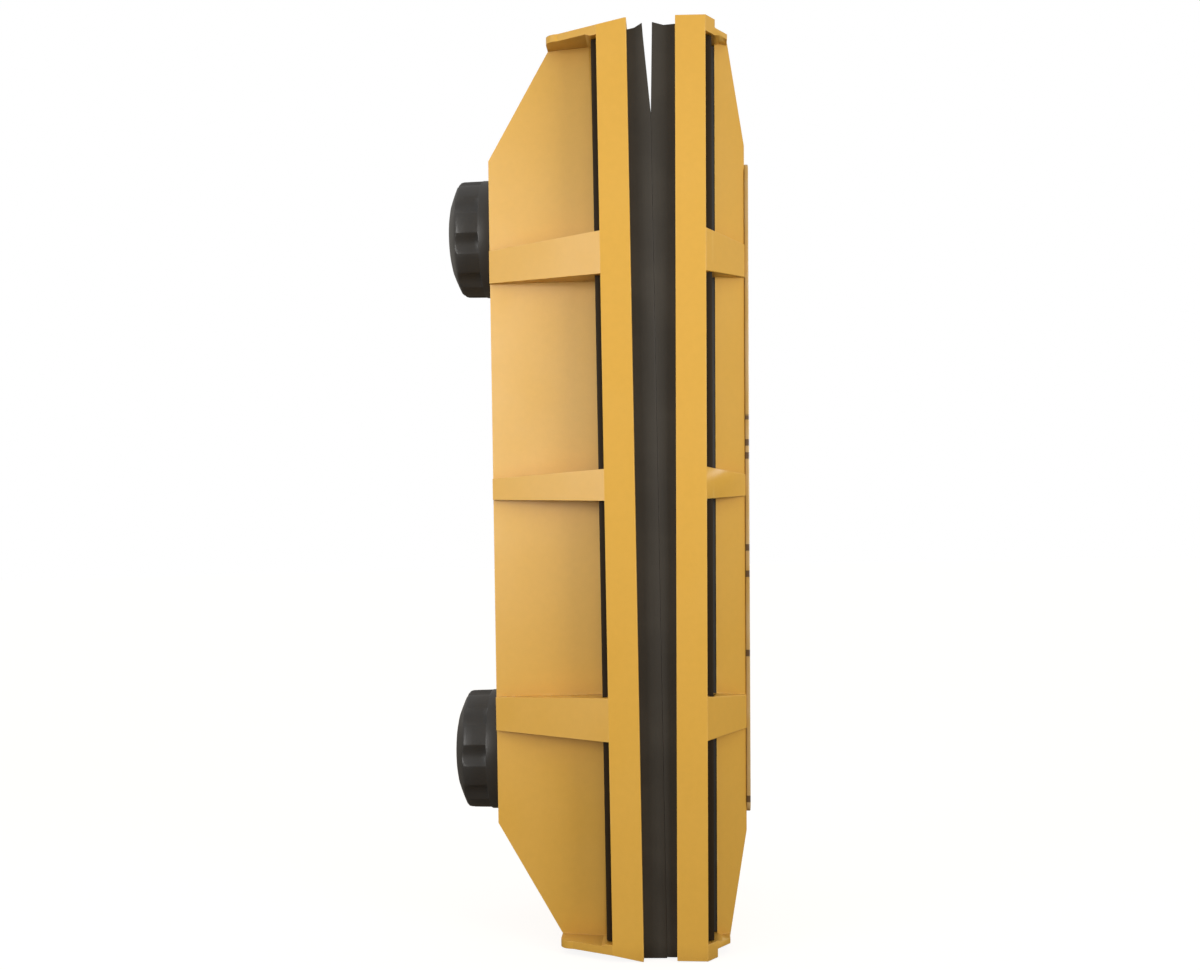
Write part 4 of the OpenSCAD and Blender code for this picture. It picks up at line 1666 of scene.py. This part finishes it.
@dataclass
class Studio:
    """The camera, floor and lights.

    Attributes:
        eye: The camera's place from the middle of the pane plane.
        yaw: The camera's turn towards -X.
        pitch: The camera's upward tilt.
        roll: The camera's lean.
        lens: Focal length in millimetres on a 36 mm frame.
        right_key: Power of the lamp on the right.
        left_key: Power of the lamp on the left.
    """

    eye: Point = (7.757 * MM, -504.0 * MM, -16.16 * MM)
    yaw: float = 0.0564
    pitch: float = 0.0356
    roll: float = -0.0182
    lens: float = 44.25
    right_key: float = 0.49
    left_key: float = 0.47

    FLOOR_R = 6.0
    LAMP_AT = (0.46, -0.46, 0.25)
    LAMP_AIM = (0.0, -0.04, 0.225)
    LAMP_SIDE = 0.3

    def add_camera(self) -> None:
        """Adds the camera at its place, looking at the front blades."""
        sight = Vector(
            (
                -math.sin(self.yaw) * math.cos(self.pitch),
                math.cos(self.yaw) * math.cos(self.pitch),
                math.sin(self.pitch),
            )
        )
        level = Vector((math.cos(self.yaw), math.sin(self.yaw), 0.0))
        over = level.cross(sight)
        right = level * math.cos(self.roll) + over * math.sin(self.roll)
        up = over * math.cos(self.roll) - level * math.sin(self.roll)
        pane_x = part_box("inner_housing")[1].x + SIZES.inner_gap
        place = Vector(self.eye) + Vector((pane_x, 0.0, SIZES.half_len))
        camera = bpy.data.cameras.new("camera")
        camera.lens = self.lens
        camera.sensor_fit = "HORIZONTAL"
        camera.sensor_width = 36.0
        camera.clip_start = 0.02
        camera.clip_end = 50.0
        holder = bpy.data.objects.new("camera", camera)
        bpy.context.scene.collection.objects.link(holder)
        turn = Matrix((right, up, -sight)).transposed().to_4x4()
        holder.matrix_world = Matrix.Translation(place) @ turn
        bpy.context.scene.camera = holder

    def add_floor(self) -> None:
        """Adds a wide pale floor."""
        bpy.ops.object.select_all(action="DESELECT")
        bpy.ops.mesh.primitive_circle_add(
            vertices=64, radius=self.FLOOR_R, fill_type="NGON", location=(0, 0, -0.2 * MM)
        )
        floor = bpy.context.object
        floor.name = "floor"
        bpy.ops.object.transform_apply(location=True, rotation=True, scale=True)
        paper = StudioPaper("studio_paper", (0.22, 0.19, 0.15), 0.88)
        floor.data.materials.append(paper.material())

    @staticmethod
    def add_light(name: str, place: Point, target: Point, size: float, power: float) -> None:
        """Adds a soft square lamp that faces a point.

        Args:
            name: The lamp's name.
            place: Where it hangs.
            target: What it faces.
            size: Its side length.
            power: Its power in watts.
        """
        lamp = bpy.data.lights.new(name, "AREA")
        lamp.shape = "SQUARE"
        lamp.size = size
        lamp.energy = power
        lamp.spread = math.radians(80)
        lamp.color = (1.0, 0.985, 0.96)
        holder = bpy.data.objects.new(name, lamp)
        bpy.context.scene.collection.objects.link(holder)
        facing = (Vector(target) - Vector(place)).to_track_quat("-Z", "Y")
        holder.matrix_world = Matrix.Translation(place) @ facing.to_matrix().to_4x4()

    @staticmethod
    def add_sky() -> None:
        """Adds a white surround that is brighter from above than from below."""
        world = bpy.data.worlds.new("white_room")
        bpy.context.scene.world = world
        world.use_nodes = True
        bench = NodeBench(world.node_tree)
        bench.tree.nodes.clear()
        out = bench.add("ShaderNodeOutputWorld")
        axes = bench.add("ShaderNodeSeparateXYZ")
        bench.link(bench.add("ShaderNodeTexCoord").outputs["Generated"], axes.inputs[0])
        glow = bench.ramp(axes.outputs["Z"], -0.3, 0.9, 0.32, 0.62)
        warm = bench.ramp(axes.outputs["Z"], -0.4, 0.6, 1.0, 0.0)
        tint = bench.mix(warm, (1.0, 0.99, 0.97), (1.0, 0.88, 0.70))
        background = bench.add("ShaderNodeBackground")
        white = bench.add("ShaderNodeBackground")
        bench.link(tint, background.inputs["Color"])
        white.inputs["Color"].default_value = (1.0, 1.0, 1.0, 1.0)
        white.inputs["Strength"].default_value = 1.0
        bench.link(glow, background.inputs["Strength"])
        choice = bench.add("ShaderNodeMixShader")
        seen = bench.add("ShaderNodeLightPath").outputs["Is Camera Ray"]
        bench.link(seen, choice.inputs[0])
        bench.link(background.outputs[0], choice.inputs[1])
        bench.link(white.outputs[0], choice.inputs[2])
        bench.link(choice.outputs[0], out.inputs["Surface"])

    def build(self) -> None:
        """Sets up the whole studio."""
        self.add_camera()
        self.add_floor()
        self.add_sky()
        out, ahead, up = self.LAMP_AT
        for name, place, power in (
            ("key_right", (out, ahead, up), self.right_key),
            ("key_left", (-out, ahead, up), self.left_key),
        ):
            self.add_light(name, place, self.LAMP_AIM, self.LAMP_SIDE, power)
        bpy.context.scene.view_settings.view_transform = "Standard"


def main() -> None:
    """Builds the window cleaner in order."""
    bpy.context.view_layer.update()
    Studio().build()
    inner, outer = inner_frame(), outer_frame()
    wardrobe = Wardrobe()
    panel = LabelPanel(outer)
    face = tuple(outer.place((SIZES.label_depth, 0, 0)))
    label = PrintedLabel("label_film", face, panel.half_w, panel.half_z)
    wardrobe.fill(
        [YELLOW, BLACK_BAR, KNOB_BLACK, BASE_GREY, ACETAL, RUBBER, PILE, HOOKS, STEEL,
         NICKEL, BRASS, label]
    )
    Half(
        inner, wardrobe, SIZES.inner_gap, SIZES.lips_apart, SIZES.inner_relief,
        (1.0 * MM, -0.5 * MM, -1.0 * MM),
    ).build()
    Half(
        outer, wardrobe, 10.0 * MM, SIZES.lips_apart, SIZES.outer_relief,
        (0.8 * MM, -0.2 * MM, 0.1 * MM),
    ).build()
    wardrobe.dress(panel.build(), "label_film", outer.body, ["outer_label"])
    for level in Level:
        KnobStation(inner, wardrobe, level).build()
    finish_packed_nodes(wardrobe)


if __name__ == "__main__":
    logging.basicConfig(level=logging.INFO, format="%(message)s")
    main()
